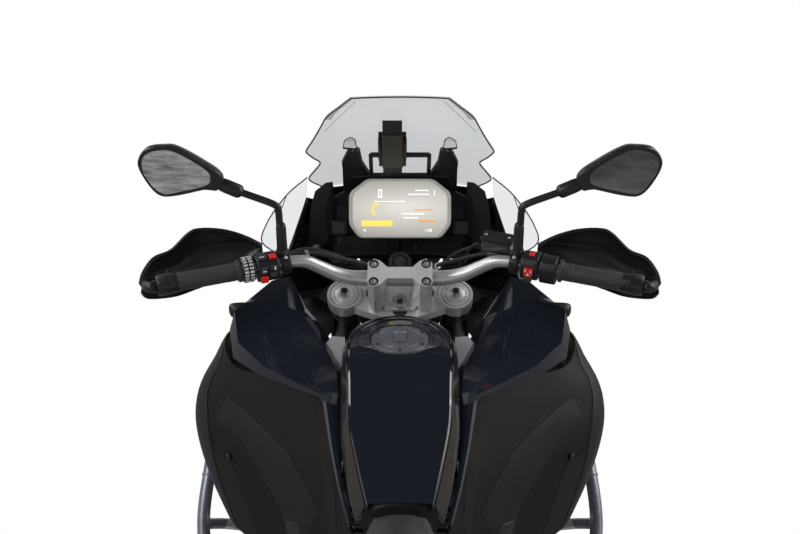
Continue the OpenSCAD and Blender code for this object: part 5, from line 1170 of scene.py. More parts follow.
def make_tank_cover():
    columns = [(-1, 1, 5), (-1, 0, 5), (-0.965, 0, 2.6), (-0.86, 0, 1.5), (-0.5, 0, 0.4), (0, 0, 0),
               (0.5, 0, 0.4), (0.86, 0, 1.5), (0.965, 0, 2.6), (1, 0, 5), (1, 1, 5)]
    rows = [[Vector((c[0] * (q[1] + c[1] * q[3]), q[0], q[2] - c[2] - c[1] * (q[4] - c[2])))
             for c in columns] for q in cover_rows()]
    fine = []
    for j in range(len(columns)):
        fine.append(smooth([r[j] for r in rows], 3))
    grid = [[column[i] for column in fine] for i in range(len(fine[0]))]
    cover = piece("tank_cover_skin", *shell(grid, 4), "tank_gloss", "chassis", smooth_angle=24,
                  replaces=("tank_cover",))
    cut_away(cover, lathe([(CORE, -30), (CAP_R + 6, -30), (CAP_R + 6, 30), (CORE, 30)], 96), IN_CAP)
    cover.data.shade_smooth()
    cover.data.set_sharp_from_angle(angle=math.radians(24))
    # Two arcs that frame the front of the cover
    for name, r, lift, thick, finish in (("cover_arc_inner", 78, 1.4, 1.6, "tank_gloss"),
                                         ("cover_arc_outer", 91, 0.2, 1.8, "tank_gloss")):
        arc = [IN_CAP @ Vector((r * math.cos(math.radians(a)), r * math.sin(math.radians(a)) * 1.02,
                                lift - 1.0)) for a in range(-12, 193, 5)]
        piece(name, *sweep(arc, thick, 12, (0, 0, 1)), finish, "chassis")
    # Skirts under the crease, of warm brown-grey plastic
    side = []
    for q in cover_rows()[6:]:
        side.append([Vector((q[1] + q[3] * k + 0.9, q[0], q[2] - 6 - (q[4] - 5) * k))
                     for k in (0.04, 0.5, 1.0)])
    strip = shell(fine_grid(side, 3), -1.2)
    piece("cover_skirts", *both_sides(strip), "skirt", "chassis", smooth_angle=60)


def make_filler_cap():
    """Round cap with its rim, bolts, latch flap and key cover."""
    body = lathe([(CORE, -13.7), (CAP_R, -13.7), (CAP_R, 0.6), (CAP_R - 1.6, 2.4), (CAP_R - 12, 3.0),
                  (CAP_R - 13, 2.2), (CAP_R - 15, 2.2), (CAP_R - 16, 3.6), (CORE, 4.2)], 96)
    piece("cap_body", *body, "cap_grey", "filler_cap", IN_CAP, replaces=("filler_cap",))
    # The ring round the cap stops on both sides of the hinge
    hoop = []
    for k in range(66):
        a = math.radians(142 + 4 * k)
        hoop.append([(r * math.cos(a), r * math.sin(a), z) for r,
                     z in ((CAP_R + 1.2, -6), (CAP_R + 5.8, -6), (CAP_R + 5.8, 1.0), (CAP_R + 4.4, 2.2),
                           (CAP_R + 1.8, 2.0), (CAP_R + 1.2, 0.4))])
    piece("cap_seat_ring", *rings(hoop), "dark_metal", "chassis", IN_CAP)
    heads = join(*[moved(bolt_head(3.6, 2.0), put(45.6 * math.cos(math.radians(60 * k + 30)),
                                                  45.6 * math.sin(math.radians(60 * k + 30)), 2.2))
                   for k in range(6)])
    piece("cap_bolts", *heads, "dark_metal", "filler_cap", IN_CAP)
    flap = rounded([(-10, -30), (10, -30), (12, -8), (7, 2), (-7, 2), (-12, -8)], 4, 4)
    v, f = rings([[(x * k, -14 + (y + 14) * k, z) for x, y in flap] for k,
                  z in ((1, 3.8), (1, 6.4), (0.93, 7.6), (0.2, 8.0))])
    piece("cap_flap", v, f, "cap_grey", "filler_cap", IN_CAP @ put(0, 12, 0))
    hinge = moved(lathe([(CORE, -11), (2.6, -11), (2.6, 11), (CORE, 11)], 20),
                  IN_CAP @ put(0, 15, 5.4) @ spun(90, "Y"))
    piece("cap_flap_hinge", *hinge, "polished", "filler_cap")


SHOULDER_ROWS = [
    [(186, 392, 985), (206, 420, 1017), (214, 428, 1031), (247, 428, 1022), (262, 430, 995)],
    [(150, 352, 962), (186, 345, 999), (226, 352, 1018), (312, 352, 1000), (322, 348, 962)],
    [(122, 302, 946), (150, 290, 976), (206, 290, 990), (300, 290, 972), (309, 288, 940)],
    [(104, 250, 950), (126, 235, 972), (180, 225, 976), (248, 222, 966), (254, 220, 950)],
    [(105, 180, 978), (112, 170, 984), (140, 165, 982), (190, 168, 972), (194, 170, 962)],
    [(106, 116, 976), (109, 114, 984), (116, 112, 987), (134, 122, 980), (138, 128, 972)],
    [(106, 104, 962), (110, 106, 965), (117, 107, 968), (126, 113, 969), (131, 118, 966)],
    [(103, 20, 926), (105, 22, 928), (108, 25, 932), (112, 28, 934), (114, 30, 932)],
    [(91, -38, 894), (92, -36, 895), (94, -34, 896), (97, -31, 898), (99, -30, 896)],
    [(76, -88, 866), (77, -87, 868), (79, -86, 870), (81, -85, 872), (83, -84, 870)],
]
SIDE_ROWS = [
    [(84, -86, 866), (79, -84, 852), (76, -86, 826), (75, -88, 798), (76, -90, 770)],
    [(115, 30, 928), (110, 14, 900), (107, -10, 862), (105, -30, 816), (106, -44, 770)],
    [(136, 124, 966), (124, 84, 920), (120, 40, 866), (120, 0, 805), (124, -30, 740)],
    [(222, 202, 956), (232, 170, 900), (226, 116, 820), (208, 66, 740), (190, 24, 680)],
    [(308, 268, 937), (364, 276, 880), (381, 252, 812), (362, 218, 724), (316, 160, 645)],
    [(334, 342, 946), (366, 342, 884), (370, 335, 792), (338, 305, 700), (292, 236, 650)],
    [(306, 402, 960), (330, 444, 880), (316, 448, 790), (290, 420, 706), (262, 352, 656)],
]


# Points of a dark sheet under the gap between shoulder and side panel: painted shade
SHADE_SHEET_ROWS = [
    [(316, 350, 935), (285, 310, 925), (245, 270, 930), (205, 240, 940)],
    [(318, 282, 926), (300, 258, 930), (262, 226, 938), (215, 195, 946)],
]


def make_body_panels():
    rows = [[Vector(p) for p in row] for row in SHOULDER_ROWS]
    skin = shell(rows, -4)
    piece("shoulder_skin", *both_sides(skin), "panel_navy", "chassis", smooth_angle=27, bevel=2.4,
          replaces=("shoulder_panels",))
    # Dark sheet that fills the gap under each shoulder with painted shade
    rows = [[Vector(p) for p in row] for row in SHADE_SHEET_ROWS]
    piece("shoulder_shade_sheet", *both_sides(shell(rows, -2)), "shadow", "chassis", smooth_angle=0)
    rows = [[Vector(p) + Vector((0, 0, -1.6)) for p in row] for row in SIDE_ROWS]
    grid = fine_grid(rows, 5, 5)
    skin = shell(grid, -4)
    piece("side_skin", *both_sides(skin), "moulded", "chassis", smooth_angle=50, bevel=0.8,
          replaces=("side_panels",))


# Patches, creases and inner panels beside the tank
COWL_INNER = [(128, 300, 880), (150, 360, 872), (154, 430, 862), (150, 500, 850), (130, 560, 835),
              (112, 620, 820)]
COWL_OUTER = [(150, 300, 930), (190, 360, 930), (215, 430, 930), (222, 500, 920), (215, 560, 905),
              (200, 620, 890)]


def on_curve(points, t):
    i = min(int(t), len(points) - 2)
    last = len(points) - 1
    return cubic(points[max(i - 1, 0)], points[i], points[i + 1], points[min(i + 2, last)], t - i)


def side_point(rows, u, v):
    across = [on_curve([r[j] for r in rows], u) for j in range(len(rows[0]))]
    return on_curve(across, v)


def on_line(line, t):
    i = min(int(t * (len(line) - 1)), len(line) - 2)
    return Vector(line[i]).lerp(Vector(line[i + 1]), t * (len(line) - 1) - i)


def side_patch(rows, first, second, lift, n=16):
    """(verts, faces) of a raised patch between two lines of (u, v) on a panel."""
    m = 5
    heart = Vector((0, 250, 860))
    top = len(rows) - 1.001
    sections = []
    for i in range(n + 1):
        a, b = on_line(first, i / n), on_line(second, i / n)
        outer, inner = [], []
        for j in range(m + 1):
            u, v = a.lerp(b, j / m)
            p = side_point(rows, u, v)
            du = side_point(rows, min(u + 0.04, top), v) - side_point(rows, max(u - 0.04, 0), v)
            dv = side_point(rows, u, min(v + 0.04, 3.999)) - side_point(rows, u, max(v - 0.04, 0))
            out = du.cross(dv).normalized()
            if out.dot(p - heart) < 0:
                out = -out
            edge = 1.0 if 0 < j < m and 0 < i < n else 0.25
            outer.append(p + out * lift * edge)
            inner.append(p - out * 1.5)
        sections.append(outer + inner[::-1])
    return rings(sections)


def make_side_details():
    rows = [[Vector(p) + Vector((0, 0, -1.6)) for p in row] for row in SIDE_ROWS]
    band = side_patch(rows, [(4.9, 0.03), (4.35, 0.4), (4.0, 0.9), (3.85, 1.5), (3.78, 2.2), (3.80, 3.2),
                             (3.86, 3.99)], [(5.5, 0.03), (4.9, 0.5), (4.5, 1.0), (4.3, 1.6), (4.2, 2.2),
                                             (4.18, 3.2), (4.2, 3.99)], 3.2, n=36)
    # Raised band in a lighter, bluish tone: a real band with a painted highlight
    piece("side_bands", *both_sides(band), "moulded_band", "chassis", smooth_angle=40)
    recess = side_patch(rows, [(3.5, 2.42), (3.47, 3.0), (3.46, 3.5), (3.5, 3.99)],
                        [(3.76, 2.3), (3.77, 3.0), (3.79, 3.5), (3.84, 3.99)], 0.5)
    piece("side_recesses", *both_sides(recess), "shadow", "chassis", smooth_angle=40)
    # The three facet patches below are in lighter tones than the panel: painted light
    crease = [(3.6, 0.95), (3.08, 1.35), (2.78, 1.6), (2.6, 2.05), (2.32, 2.8)]
    bound = [(3.72, 1.6), (3.42, 1.68), (3.25, 2.1), (2.99, 2.8), (3.02, 3.9)]
    upper = side_patch(rows, crease, bound, 2.2)
    piece("side_facets", *both_sides(upper), "moulded_facet", "chassis", smooth_angle=20)
    lower = side_patch(rows, [(2.97, 2.9), (2.97, 3.4), (3.0, 3.99)],
                       [(2.74, 2.95), (2.66, 3.4), (2.6, 3.99)], 3.4)
    piece("side_lower_facets", *both_sides(lower), "moulded_pale", "chassis", smooth_angle=20)
    inner = side_patch(rows, [(1.2, 0.35), (1.2, 1.6), (1.3, 2.8), (1.4, 3.9)],
                       [(2.2, 0.3), (2.25, 1.4), (2.1, 2.8), (2.0, 3.9)], 1.6)
    piece("side_inner_facets", *both_sides(inner), "moulded_warm", "chassis", smooth_angle=20)
    heads = []
    for u, v in ((3.55, 2.25), (4.7, 2.4)):
        p = side_point(rows, u, v)
        out = (p - Vector((0, 300, 860))).normalized()
        for s in (-1, 1):
            heads.append(moved(bolt_head(6.5, 4.2), along((s * p.x, p.y, p.z),
                                                          (s * out.x, out.y, out.z))))
    piece("side_bolts", *join(*heads), "dark_metal", "chassis")
    # Rim line of the shoulders, and the pale facet between shoulder and tank: a painted highlight on the
    # rim and a painted reflection on the facet
    edge = [Vector(r[4]) for r in SHOULDER_ROWS]
    piece("shoulder_rim_highlights", *both_sides(sweep(edge, 1.5, 10)), "edge_line", "chassis")
    facet = [(141, 291, 967), (129, 322, 967), (104, 318, 967), (98, 234, 967), (105, 212, 967)]
    plate = rings([[Vector(p) for p in facet], [Vector(p) + Vector((0, 0, -3)) for p in facet]])
    piece("shoulder_reflection_facets", *both_sides(plate), "edge_soft", "chassis", smooth_angle=0, bevel=0.6)
    # Inner cowl between shoulders and fork
    sections = []
    for a, b in zip(smooth([Vector(p) for p in COWL_INNER], 4),
                    smooth([Vector(p) for p in COWL_OUTER], 4)):
        mid = a.lerp(b, 0.5) + Vector((0, 0, -6))
        drop = Vector((0, 0, -3))
        sections.append([a, mid, b, b + drop, mid + drop, a + drop])
    piece("inner_cowls", *both_sides(rings(sections)), "satin_black", "chassis", smooth_angle=50)
    # Panels that close the nose behind the beak
    wing = [(112, 896), (186, 900), (184, 838), (112, 786)]
    middle = [(-97, 852), (97, 852), (94, 786), (80, 764), (-80, 764), (-94, 786)]
    wings = rings([[Vector((x, y + 0.06 * (900 - z), z)) for x, z in wing] for y in (658, 661)])
    nose = rings([[Vector((x, y + 0.0006 * x * x, z)) for x, z in middle] for y in (656, 659)])
    piece("nose_panels", *join(both_sides(wings), nose), "satin_black", "chassis", smooth_angle=0,
          bevel=0.8)


# Wheels, chain and brakes
FRONT_MID = Vector((0, 804.477, 348))
REAR_MID = Vector((0, -788.523, 343))


def tyre_at(mid, size, a, phi, h):
    """Point of a tyre: a round its section, phi round the axle, h above the carcass."""
    r_out, w, rim, lug = size
    core = (rim + 0.574 * r_out) / 1.574
    r = core + (r_out - lug - core + h) * math.cos(a)
    x = (w / 2 - 0.4 * lug + h * 0.8) * math.sin(a)
    return mid + Vector((x, r * math.cos(phi), r * math.sin(phi)))


def make_tyre(name, node, body, mid, size, pitches, blocks):
    profile = [math.radians(a) for a in range(-124, 125, 8)]
    sections = [[tyre_at(mid, size, a, 2 * math.pi * k / 120, 0) for a in profile] for k in range(120)]
    piece(name + "_carcass", *rings(sections, closed=True), "tyre", body, smooth_angle=60,
          replaces=(node,))
    lugs = []
    lug = size[3]
    for k in range(pitches):
        start = 2 * math.pi * k / pitches
        for a0, a1, f0, f1, skew in blocks:
            for s in (-1, 1):
                step = 0.0 if s > 0 else 0.5
                corners = []
                for u, v in ((0, 0), (0.5, 0), (1, 0), (1, 0.5), (1, 1), (0.5, 1), (0, 1), (0, 0.5)):
                    f = f0 + (f1 - f0) * v + skew * u + step
                    corners.append((s * math.radians(a0 + (a1 - a0) * u),
                                    start + f * 2 * math.pi / pitches))
                a_mid = sum(c[0] for c in corners) / 8
                f_mid = sum(c[1] for c in corners) / 8
                low = [tyre_at(mid, size, a, f, -0.6) for a, f in corners]
                high = [tyre_at(mid, size, a, f, lug - 1.0) for a, f in corners]
                top = [tyre_at(mid, size, a_mid + (a - a_mid) * 0.9, f_mid + (f - f_mid) * 0.9, lug)
                       for a, f in corners]
                lugs.append(rings([low, high, top]))
    piece(name + "_lugs", *join(*lugs), "tyre", body, smooth_angle=30)
    ribs = []
    for s in (-1, 1):
        for deg, r in ((86, 1.2), (100, 0.9), (112, 1.4)):
            loop = [tyre_at(mid, size, s * math.radians(deg), 2 * math.pi * k / 96, 0.2)
                    for k in range(96)]
            ring = []
            for k, p in enumerate(loop):
                t = (loop[(k + 1) % 96] - loop[k - 1]).normalized()
                u = Vector((1, 0, 0))
                v = t.cross(u).normalized()
                ring.append([p + r * (math.cos(math.pi * q / 3) * u + math.sin(math.pi * q / 3) * v)
                             for q in range(6)])
            ribs.append(rings(ring, closed=True))
    piece(name + "_ribs", *join(*ribs), "rubber", body)


def on_axle(mid, x):
    return Matrix.Translation(mid + Vector((x, 0, 0))) @ spun(90, "Y")


def ring_of(n, r, shape, turn=0.0):
    return join(*[moved(shape, Matrix.Rotation(2 * math.pi * k / n + turn, 4, "Z") @ put(r, 0, 0))
                  for k in range(n)])


def make_wheels():
    make_tyre("front_tyre", "front_tyre", "front_wheel", FRONT_MID, (348, 92, 268, 6), 44,
              [(2, 20, 0.06, 0.44, 0.16), (25, 44, 0.02, 0.46, 0.2), (50, 68, 0.08, 0.5, 0.1)])
    make_tyre("rear_tyre", "rear_tyre", "rear_wheel", REAR_MID, (321, 150, 219, 7), 40,
              [(2, 15, 0.05, 0.45, 0.14), (19, 35, 0.03, 0.46, 0.2), (39, 55, 0.05, 0.48, 0.16),
               (59, 72, 0.1, 0.5, 0.08)])
    for name, body, mid, r, w in (("front", "front_wheel", FRONT_MID, 267, 66),
                                  ("rear", "rear_wheel", REAR_MID, 218, 108)):
        lips = []
        for s in (-1, 1):
            lips.append(lathe([(r - 0.5, s * w / 2 - 2.4), (r + 1.6, s * w / 2 - 1.4),
                               (r + 1.6, s * w / 2 + 1.4), (r - 6, s * w / 2 + 1.6),
                               (r - 7.5, s * w / 2 - 0.2)], 96, closed=True))
        piece(name + "_rim_lips", *moved(join(*lips), on_axle(mid, 0)), "rim_edge", body)
        stem = lathe([(CORE, 0), (4, 0), (4, 4), (2.8, 8), (2.8, 26), (3.6, 27), (3.6, 34), (CORE, 35)],
                     16)
        at = Matrix.Translation(mid) @ Matrix.Rotation(0.4, 4, "X") @ put(0, 0, r - 19)
        piece(name + "_valve", *moved(stem, at @ spun(180, "X")), "rubber", body)
        nipples = ring_of(64, r - 19, moved(lathe([(CORE, -6), (2.4, -6), (3.0, 0.5), (CORE, 0.5)], 8),
                                               spun(90, "Y")))
        piece(name + "_nipples", *moved(nipples, on_axle(mid, 0)), "polished", body)
    stud = bolt_head(4.6, 3.4)
    for s in (-1, 1):
        turn = Matrix.Identity(4) if s > 0 else spun(180, "X")
        at = on_axle(FRONT_MID, s * 68.3) @ turn
        piece("front_disc_bolts_" + ("right" if s > 0 else "left"), *moved(ring_of(6, 30, stud, 0.2), at),
              "dark_metal", "front_wheel")
        floats = ring_of(10, 113, lathe([(CORE, 0), (6.5, 0), (6.0, 1.6), (3.2, 1.6), (3.0, 0.6),
                                         (CORE, 0.6)], 20))
        piece("front_disc_floats_" + ("right" if s > 0 else "left"), *moved(floats, at), "polished",
              "front_wheel")
    at = on_axle(REAR_MID, 86.3)
    piece("rear_disc_bolts", *moved(ring_of(5, 34, stud, 0.2), at), "dark_metal", "rear_wheel")
    nut = lathe([(CORE, 0), (13, 0), (13, 6), (11, 8), (CORE, 8)], 6)
    piece("rear_axle_nuts", *join(moved(nut, on_axle(REAR_MID, 137)),
                                  moved(nut, on_axle(REAR_MID, -137) @ spun(180, "X"))),
          "polished", "chassis", smooth_angle=20)


CHAIN_X = -92
CHAIN_LINKS = 120
CHAIN_PITCH = 15.875
SPROCKET_R = CHAIN_PITCH / (2 * math.sin(math.pi / 48))
PINION_R = CHAIN_PITCH / (2 * math.sin(math.pi / 17))
PINION_MID = (-104, 424)


def chain_loop():
    """The function that gives the chain's centre line by distance along it, and its length."""
    ry, rz = REAR_MID.y, REAR_MID.z
    py, pz = PINION_MID
    run = math.hypot(py - ry, pz - rz)
    tilt = math.atan2(pz - rz, py - ry)
    lead = math.asin((SPROCKET_R - PINION_R) / run)
    straight = run * math.cos(lead)
    front = PINION_R * (math.pi - 2 * lead)
    rear = SPROCKET_R * (math.pi + 2 * lead)
    up, down = tilt + math.pi / 2 - lead, tilt - math.pi / 2 + lead

    def at(s):
        if s < straight:
            return (ry + SPROCKET_R * math.cos(up) + s * math.sin(up),
                    rz + SPROCKET_R * math.sin(up) - s * math.cos(up))
        if s < straight + front:
            a = up - (s - straight) / PINION_R
            return (py + PINION_R * math.cos(a), pz + PINION_R * math.sin(a))
        if s < 2 * straight + front:
            q = s - straight - front
            return (py + PINION_R * math.cos(down) + q * math.sin(down),
                    pz + PINION_R * math.sin(down) - q * math.cos(down))
        a = down - (s - 2 * straight - front) / SPROCKET_R
        return (ry + SPROCKET_R * math.cos(a), rz + SPROCKET_R * math.sin(a))
    return at, 2 * straight + front + rear


def make_chain():
    at, total = chain_loop()
    plates, rollers = [], []
    pins = [at((k % CHAIN_LINKS) * total / CHAIN_LINKS) for k in range(CHAIN_LINKS + 1)]
    for k in range(CHAIN_LINKS):
        a, b = Vector(pins[k]), Vector(pins[k + 1])
        run = (b - a).normalized()
        side = Vector((-run.y, run.x))
        mid = (a + b) / 2
        outline = []
        for centre, turn in ((b, -90), (a, 90)):
            for d in (0, 60, 120, 180):
                w = math.radians(turn + d)
                outline.append(centre + 6.6 * (math.cos(w) * run + math.sin(w) * side))
            outline.append(mid + (5.0 if turn == -90 else -5.0) * side)
        gap, thick = (6.8, 2.2) if k % 2 else (4.2, 2.2)
        for s in (-1, 1):
            x0, x1 = CHAIN_X + s * gap, CHAIN_X + s * (gap + thick)
            plates.append(rings([[Vector((min(x0, x1), p.x, p.y)) for p in outline],
                                 [Vector((max(x0, x1), p.x, p.y)) for p in outline]]))
        pin = moved(lathe([(CORE, -9.8), (2.6, -9.8), (2.6, -4.2), (5.0, -4.1), (5.0, 4.1), (2.6, 4.2),
                           (2.6, 9.8), (CORE, 9.8)], 10), put(CHAIN_X, a.x, a.y) @ spun(90, "Y"))
        rollers.append(pin)
    piece("chain_plates", *join(*plates), "chain", "chassis", smooth_angle=30, replaces=("drive_chain",))
    piece("chain_rollers", *join(*rollers), "brushed", "chassis")


# Engine, exhaust and frame
def side_cover(x, y, z, r, h, side, count):
    """Round cover of the crankcase with stepped rim and bolts, and its bolts."""
    turn = put(side * x, y, z) @ Matrix.Rotation(side * math.pi / 2, 4, "Y")
    body = lathe([(CORE, -2), (r + 7, -2), (r + 7, 6), (r + 1.4, 8), (r + 1.4, h - 9), (r - 1, h - 3),
                  (r - 7, h + 1.4), (r * 0.55, h + 1.8), (r * 0.5, h + 0.6), (CORE, h + 0.6)], 72)
    ears = ring_of(count, r + 8, lathe([(CORE, -2), (8, -2), (8, 7), (CORE, 7)], 20))
    heads = moved(ring_of(count, r + 8, bolt_head(5.2, 5)), put(0, 0, 7))
    return moved(join(body, ears), turn), moved(heads, turn)


def make_engine():
    covers, heads = [], []
    for c in ((105, 60, 400, 96, 34, 1, 10), (105, 200, 360, 62, 22, 1, 7),
              (105, 190, 372, 84, 36, -1, 9), (105, 20, 420, 46, 18, -1, 6)):
        a, b = side_cover(*c)
        covers.append(a)
        heads.append(b)
    piece("case_covers", *join(*covers), "casting", "chassis", smooth_angle=30)
    piece("case_cover_bolts", *join(*heads), "dark_metal", "chassis")
    caps = []
    for x, y, z, r, side in ((139, 60, 400, 60, 1), (141, 190, 372, 52, -1)):
        turn = put(side * x, y, z) @ Matrix.Rotation(side * math.pi / 2, 4, "Y")
        caps.append(moved(lathe([(CORE, 0), (r, 0), (r, 5.5), (r - 3, 7.4), (r - 12, 7.4), (r - 14, 6.2),
                                 (CORE, 6.6)], 64), turn))
    piece("case_caps", *join(*caps), "brushed", "chassis")
    plug = moved(lathe([(CORE, 0), (15, 0), (15, 5), (13, 8), (CORE, 8)], 12),
                 put(140, -12, 462) @ spun(90, "Y"))
    piece("oil_filler", *moved(plug, put(-34, 0, 12)), "moulded_dark", "chassis", smooth_angle=20)
    fil = lathe([(CORE, 0), (38, 0), (38, 50), (36, 58), (30, 60), (14, 60), (13, 57), (CORE, 57)], 16)
    piece("oil_filter_can", *moved(fil, put(0, 300, 392) @ spun(-90, "X")),
          "satin_black", "chassis", smooth_angle=20)
    lean = put(0, 218, 536) @ spun(-12, "X")
    fins = []
    for k in range(6):
        z = 8 + 22 * k
        for dz in (0.5, 7.5):
            fins.append(prism(rounded([(-108, -96), (108, -96), (108, 96), (-108, 96)], 14, 4), z + dz,
                              z + dz + 3.4))
    piece("cylinder_fins", *moved(join(*fins), lean), "casting", "chassis", smooth_angle=20)
    lid = rings([[(x * k, y * k, z) for x, y in rounded([(-111, -95), (111, -95), (111, 95), (-111, 95)],
                                                        16, 4)] for k, z in ((1, 150), (1, 200),
                                                                             (0.985, 206), (0.96, 220),
                                                                             (0.9, 226))])
    piece("cam_cover", *moved(lid, lean), "casting", "chassis", smooth_angle=28)
    heads = join(*[moved(bolt_head(5.6, 6), put(x, y, 221)) for x in (-84, 0, 84) for y in (-66, 66)])
    piece("cam_cover_bolts", *moved(heads, lean), "dark_metal", "chassis")
    clamps = join(*[moved(lathe([(27.2, 0), (30, 0), (30, 9), (27.2, 9)], 40, closed=True),
                          lean @ put(s * 52, -106, 166) @ spun(90, "X"))
                    for s in (-1, 1)])
    piece("intake_clamps", *clamps, "polished", "chassis")
    sump = join(*[moved(bolt_head(5, 4), along((x, y, 193), (0, 0, -1))) for x in (-80, 0)
                  for y in (-46, 60, 170)])
    piece("sump_bolts", *sump, "dark_metal", "chassis")


SILENCER = [(206, -492, 438), (208, -540, 458), (210, -620, 486), (212, -940, 600), (213, -1010, 625),
            (213, -1022, 629)]
LEFT_PIPE = [(-50, 416, 590), (-38, 408, 450), (0, 360, 310), (30, 296, 232), (42, 216, 200)]
RIGHT_PIPE = [(56, 416, 590), (66, 408, 450), (78, 360, 310), (84, 296, 232), (84, 216, 200)]
MID_PIPE = [(64, 214, 198), (62, 40, 196), (62, -90, 196), (64, -172, 216), (68, -236, 278),
            (98, -296, 336), (156, -360, 354), (198, -430, 398), (206, -500, 440)]


def make_exhaust():
    pipes = []
    for path in (LEFT_PIPE, RIGHT_PIPE):
        pipes.append(sweep(smooth(path, 8), 20.6, 28, (1, 0, 0)))
    pipes.append(sweep(smooth(MID_PIPE, 8), 26.6, 28, (1, 0, 0)))
    piece("header_pipes", *join(*pipes), "exhaust_hot", "chassis")
    body = sweep([Vector(p) for p in SILENCER[2:4]], 61, 56, (1, 0, 0))
    piece("silencer_sleeve", *body, "exhaust", "chassis", smooth_angle=30)
    ends = join(sweep([Vector(p) for p in SILENCER[:3]], [31, 53, 61.5], 56, (1, 0, 0)),
                sweep([Vector(SILENCER[3]), Vector(SILENCER[4]), Vector(SILENCER[5])], [61.5, 55, 41], 56,
                      (1, 0, 0)))
    piece("silencer_ends", *ends, "satin_black", "chassis", smooth_angle=30)
    bands = []
    axis = (Vector(SILENCER[3]) - Vector(SILENCER[2])).normalized()
    for t, w in ((0.02, 10), (0.30, 16), (0.97, 12)):
        p = Vector(SILENCER[2]).lerp(Vector(SILENCER[3]), t)
        bands.append(moved(lathe([(60.5, -w / 2), (63.4, -w / 2), (63.8, 0), (63.4, w / 2),
                                  (60.5, w / 2)], 72, closed=True), along(p, axis)))
    piece("silencer_bands", *join(*bands), "brushed", "chassis")
    rivets = []
    for t in (0.045, 0.945):
        p = Vector(SILENCER[2]).lerp(Vector(SILENCER[3]), t)
        rivets.append(moved(ring_of(14, 60.6, moved(lathe([(CORE, 0), (3.2, 0), (2.4, 1.6), (CORE, 2)],
                                                          12), spun(90, "Y"))), along(p, axis)))
    piece("silencer_rivets", *join(*rivets), "polished", "chassis")
    tip_axis = (Vector((213, -1046, 638)) - Vector((212, -1016, 627))).normalized()
    tip = moved(lathe([(21, 0), (25.4, 0), (25.4, 32), (24, 34), (21, 33)], 48, closed=True),
                along((212, -1016, 627), tip_axis))
    piece("silencer_tip", *tip, "polished", "chassis")
    hole = moved(lathe([(CORE, 0), (21.2, 0), (21.2, 33), (CORE, 33)], 40),
                 along((212, -1016, 627), tip_axis))
    piece("silencer_bore", *hole, "shadow", "chassis")
    shield = []
    for i in range(13):
        p = Vector(SILENCER[2]).lerp(Vector(SILENCER[3]), 0.36 + 0.5 * i / 12)
        place = along(p, axis)
        arc = []
        for j in range(13):
            a = math.radians(-46 + 92 * j / 12)
            arc.append(place @ Vector((67 * math.cos(a), 67 * math.sin(a), 0)))
        back = [place @ Vector((64 * math.cos(math.radians(-46 + 92 * j / 12)),
                                64 * math.sin(math.radians(-46 + 92 * j / 12)), 0))
                for j in range(12, -1, -1)]
        shield.append(arc + back)
    piece("silencer_shield", *rings(shield), "satin_black", "chassis", smooth_angle=50)


SPAR = [(34, 384, 884), (46, 350, 866), (104, 296, 826), (136, 240, 786), (139, 100, 690),
        (132, -60, 590), (128, -150, 520)]
SPAR_R = [15, 17, 19, 21, 21, 21, 20]
DOWN = [(104, 292, 822), (128, 290, 700), (131, 300, 560), (128, 306, 440), (118.3, 303, 368)]
SEAT_RAIL = [(134, -20, 618), (120, -240, 770), (118, -480, 838), (108, -760, 880), (92, -900, 900)]
BRACE = [(128, -160, 480), (128, -300, 600), (119, -500, 818)]
CRASH = [(168.5, 236, 790), (236, 400, 806), (322, 474, 786), (372, 430, 700), (392, 330, 620),
         (398, 252, 540), (372, 170, 450), (296, 130, 362), (206, 160, 296), (150, 214, 273),
         (119, 250, 284)]
CRASH_BRACE = [(398, 262, 550), (330, 330, 480), (210, 340, 410), (143.5, 305, 382)]


def make_tubes():
    """Round tubes laid over the coarse ones, with weld beads where they meet."""
    spar = smooth(SPAR, 6)
    radii = [cubic(*[SPAR_R[min(max(i + d, 0), 6)] for d in (-1, 0, 1, 2)], k / 6) for i in range(6)
             for k in range(6)] + [20]
    tubes = [sweep(spar, [r + 0.5 for r in radii], 24, (1, 0, 0)),
             sweep(smooth(DOWN, 6), 13.7, 22, (1, 0, 0)), sweep(smooth(SEAT_RAIL, 6), 12.7, 22,
                                                                (1, 0, 0)), sweep([Vector(p)
                                                                                   for p in BRACE], 10.6,
                                                                                  20, (1, 0, 0))]
    piece("frame_tubes", *both_sides(join(*tubes)), "frame", "chassis")
    beads = []
    for p, d, r in (((128, 296, 690), (0, 0, 1), 14.2), ((133, -10, 624), (0, 0.8, -0.6), 13.4),
                    ((127, -170, 488), (0, -1, 1), 11.4), ((119, -490, 808), (0, -0.6, 0.8), 11.4),
                    ((104, 300, 828), (0.6, -0.6, -0.4), 20.4)):
        beads.append(moved(lathe([(r - 1.5, -2.6), (r + 0.6, -2), (r + 1.2, 0), (r + 0.6, 2),
                                  (r - 1.5, 2.6)], 28, closed=True), along(p, d)))
    piece("weld_beads", *both_sides(join(*beads)), "dark_metal", "chassis")
    bars = join(sweep(smooth(CRASH, 8), 13.0, 28, (0.3, 1, 0)), sweep(smooth(CRASH_BRACE, 8), 11.0, 24))
    piece("guard_tubes", *both_sides(bars), "guard_grey", "chassis")
    rings_on = []
    for p, d, r in (((392, 330, 620), (-0.1, 1, 0.9), 13.2), ((398, 262, 550), (0.7, -0.7, 0.7), 11.2),
                    ((143.5, 305, 382), (-0.9, -0.5, -0.4), 11.2)):
        rings_on.append(moved(lathe([(r - 1.2, -3), (r + 1.0, -2), (r + 1.6, 0), (r + 1.0, 2),
                                     (r - 1.2, 3)], 28, closed=True), along(p, d)))
    piece("guard_welds", *both_sides(join(*rings_on)), "guard_grey", "chassis")
    feet = [moved(bolt_head(9, 7), along((121, 250, 284), (1, 0, 0)))]
    piece("guard_bolts", *both_sides(join(*feet)), "dark_metal", "chassis")


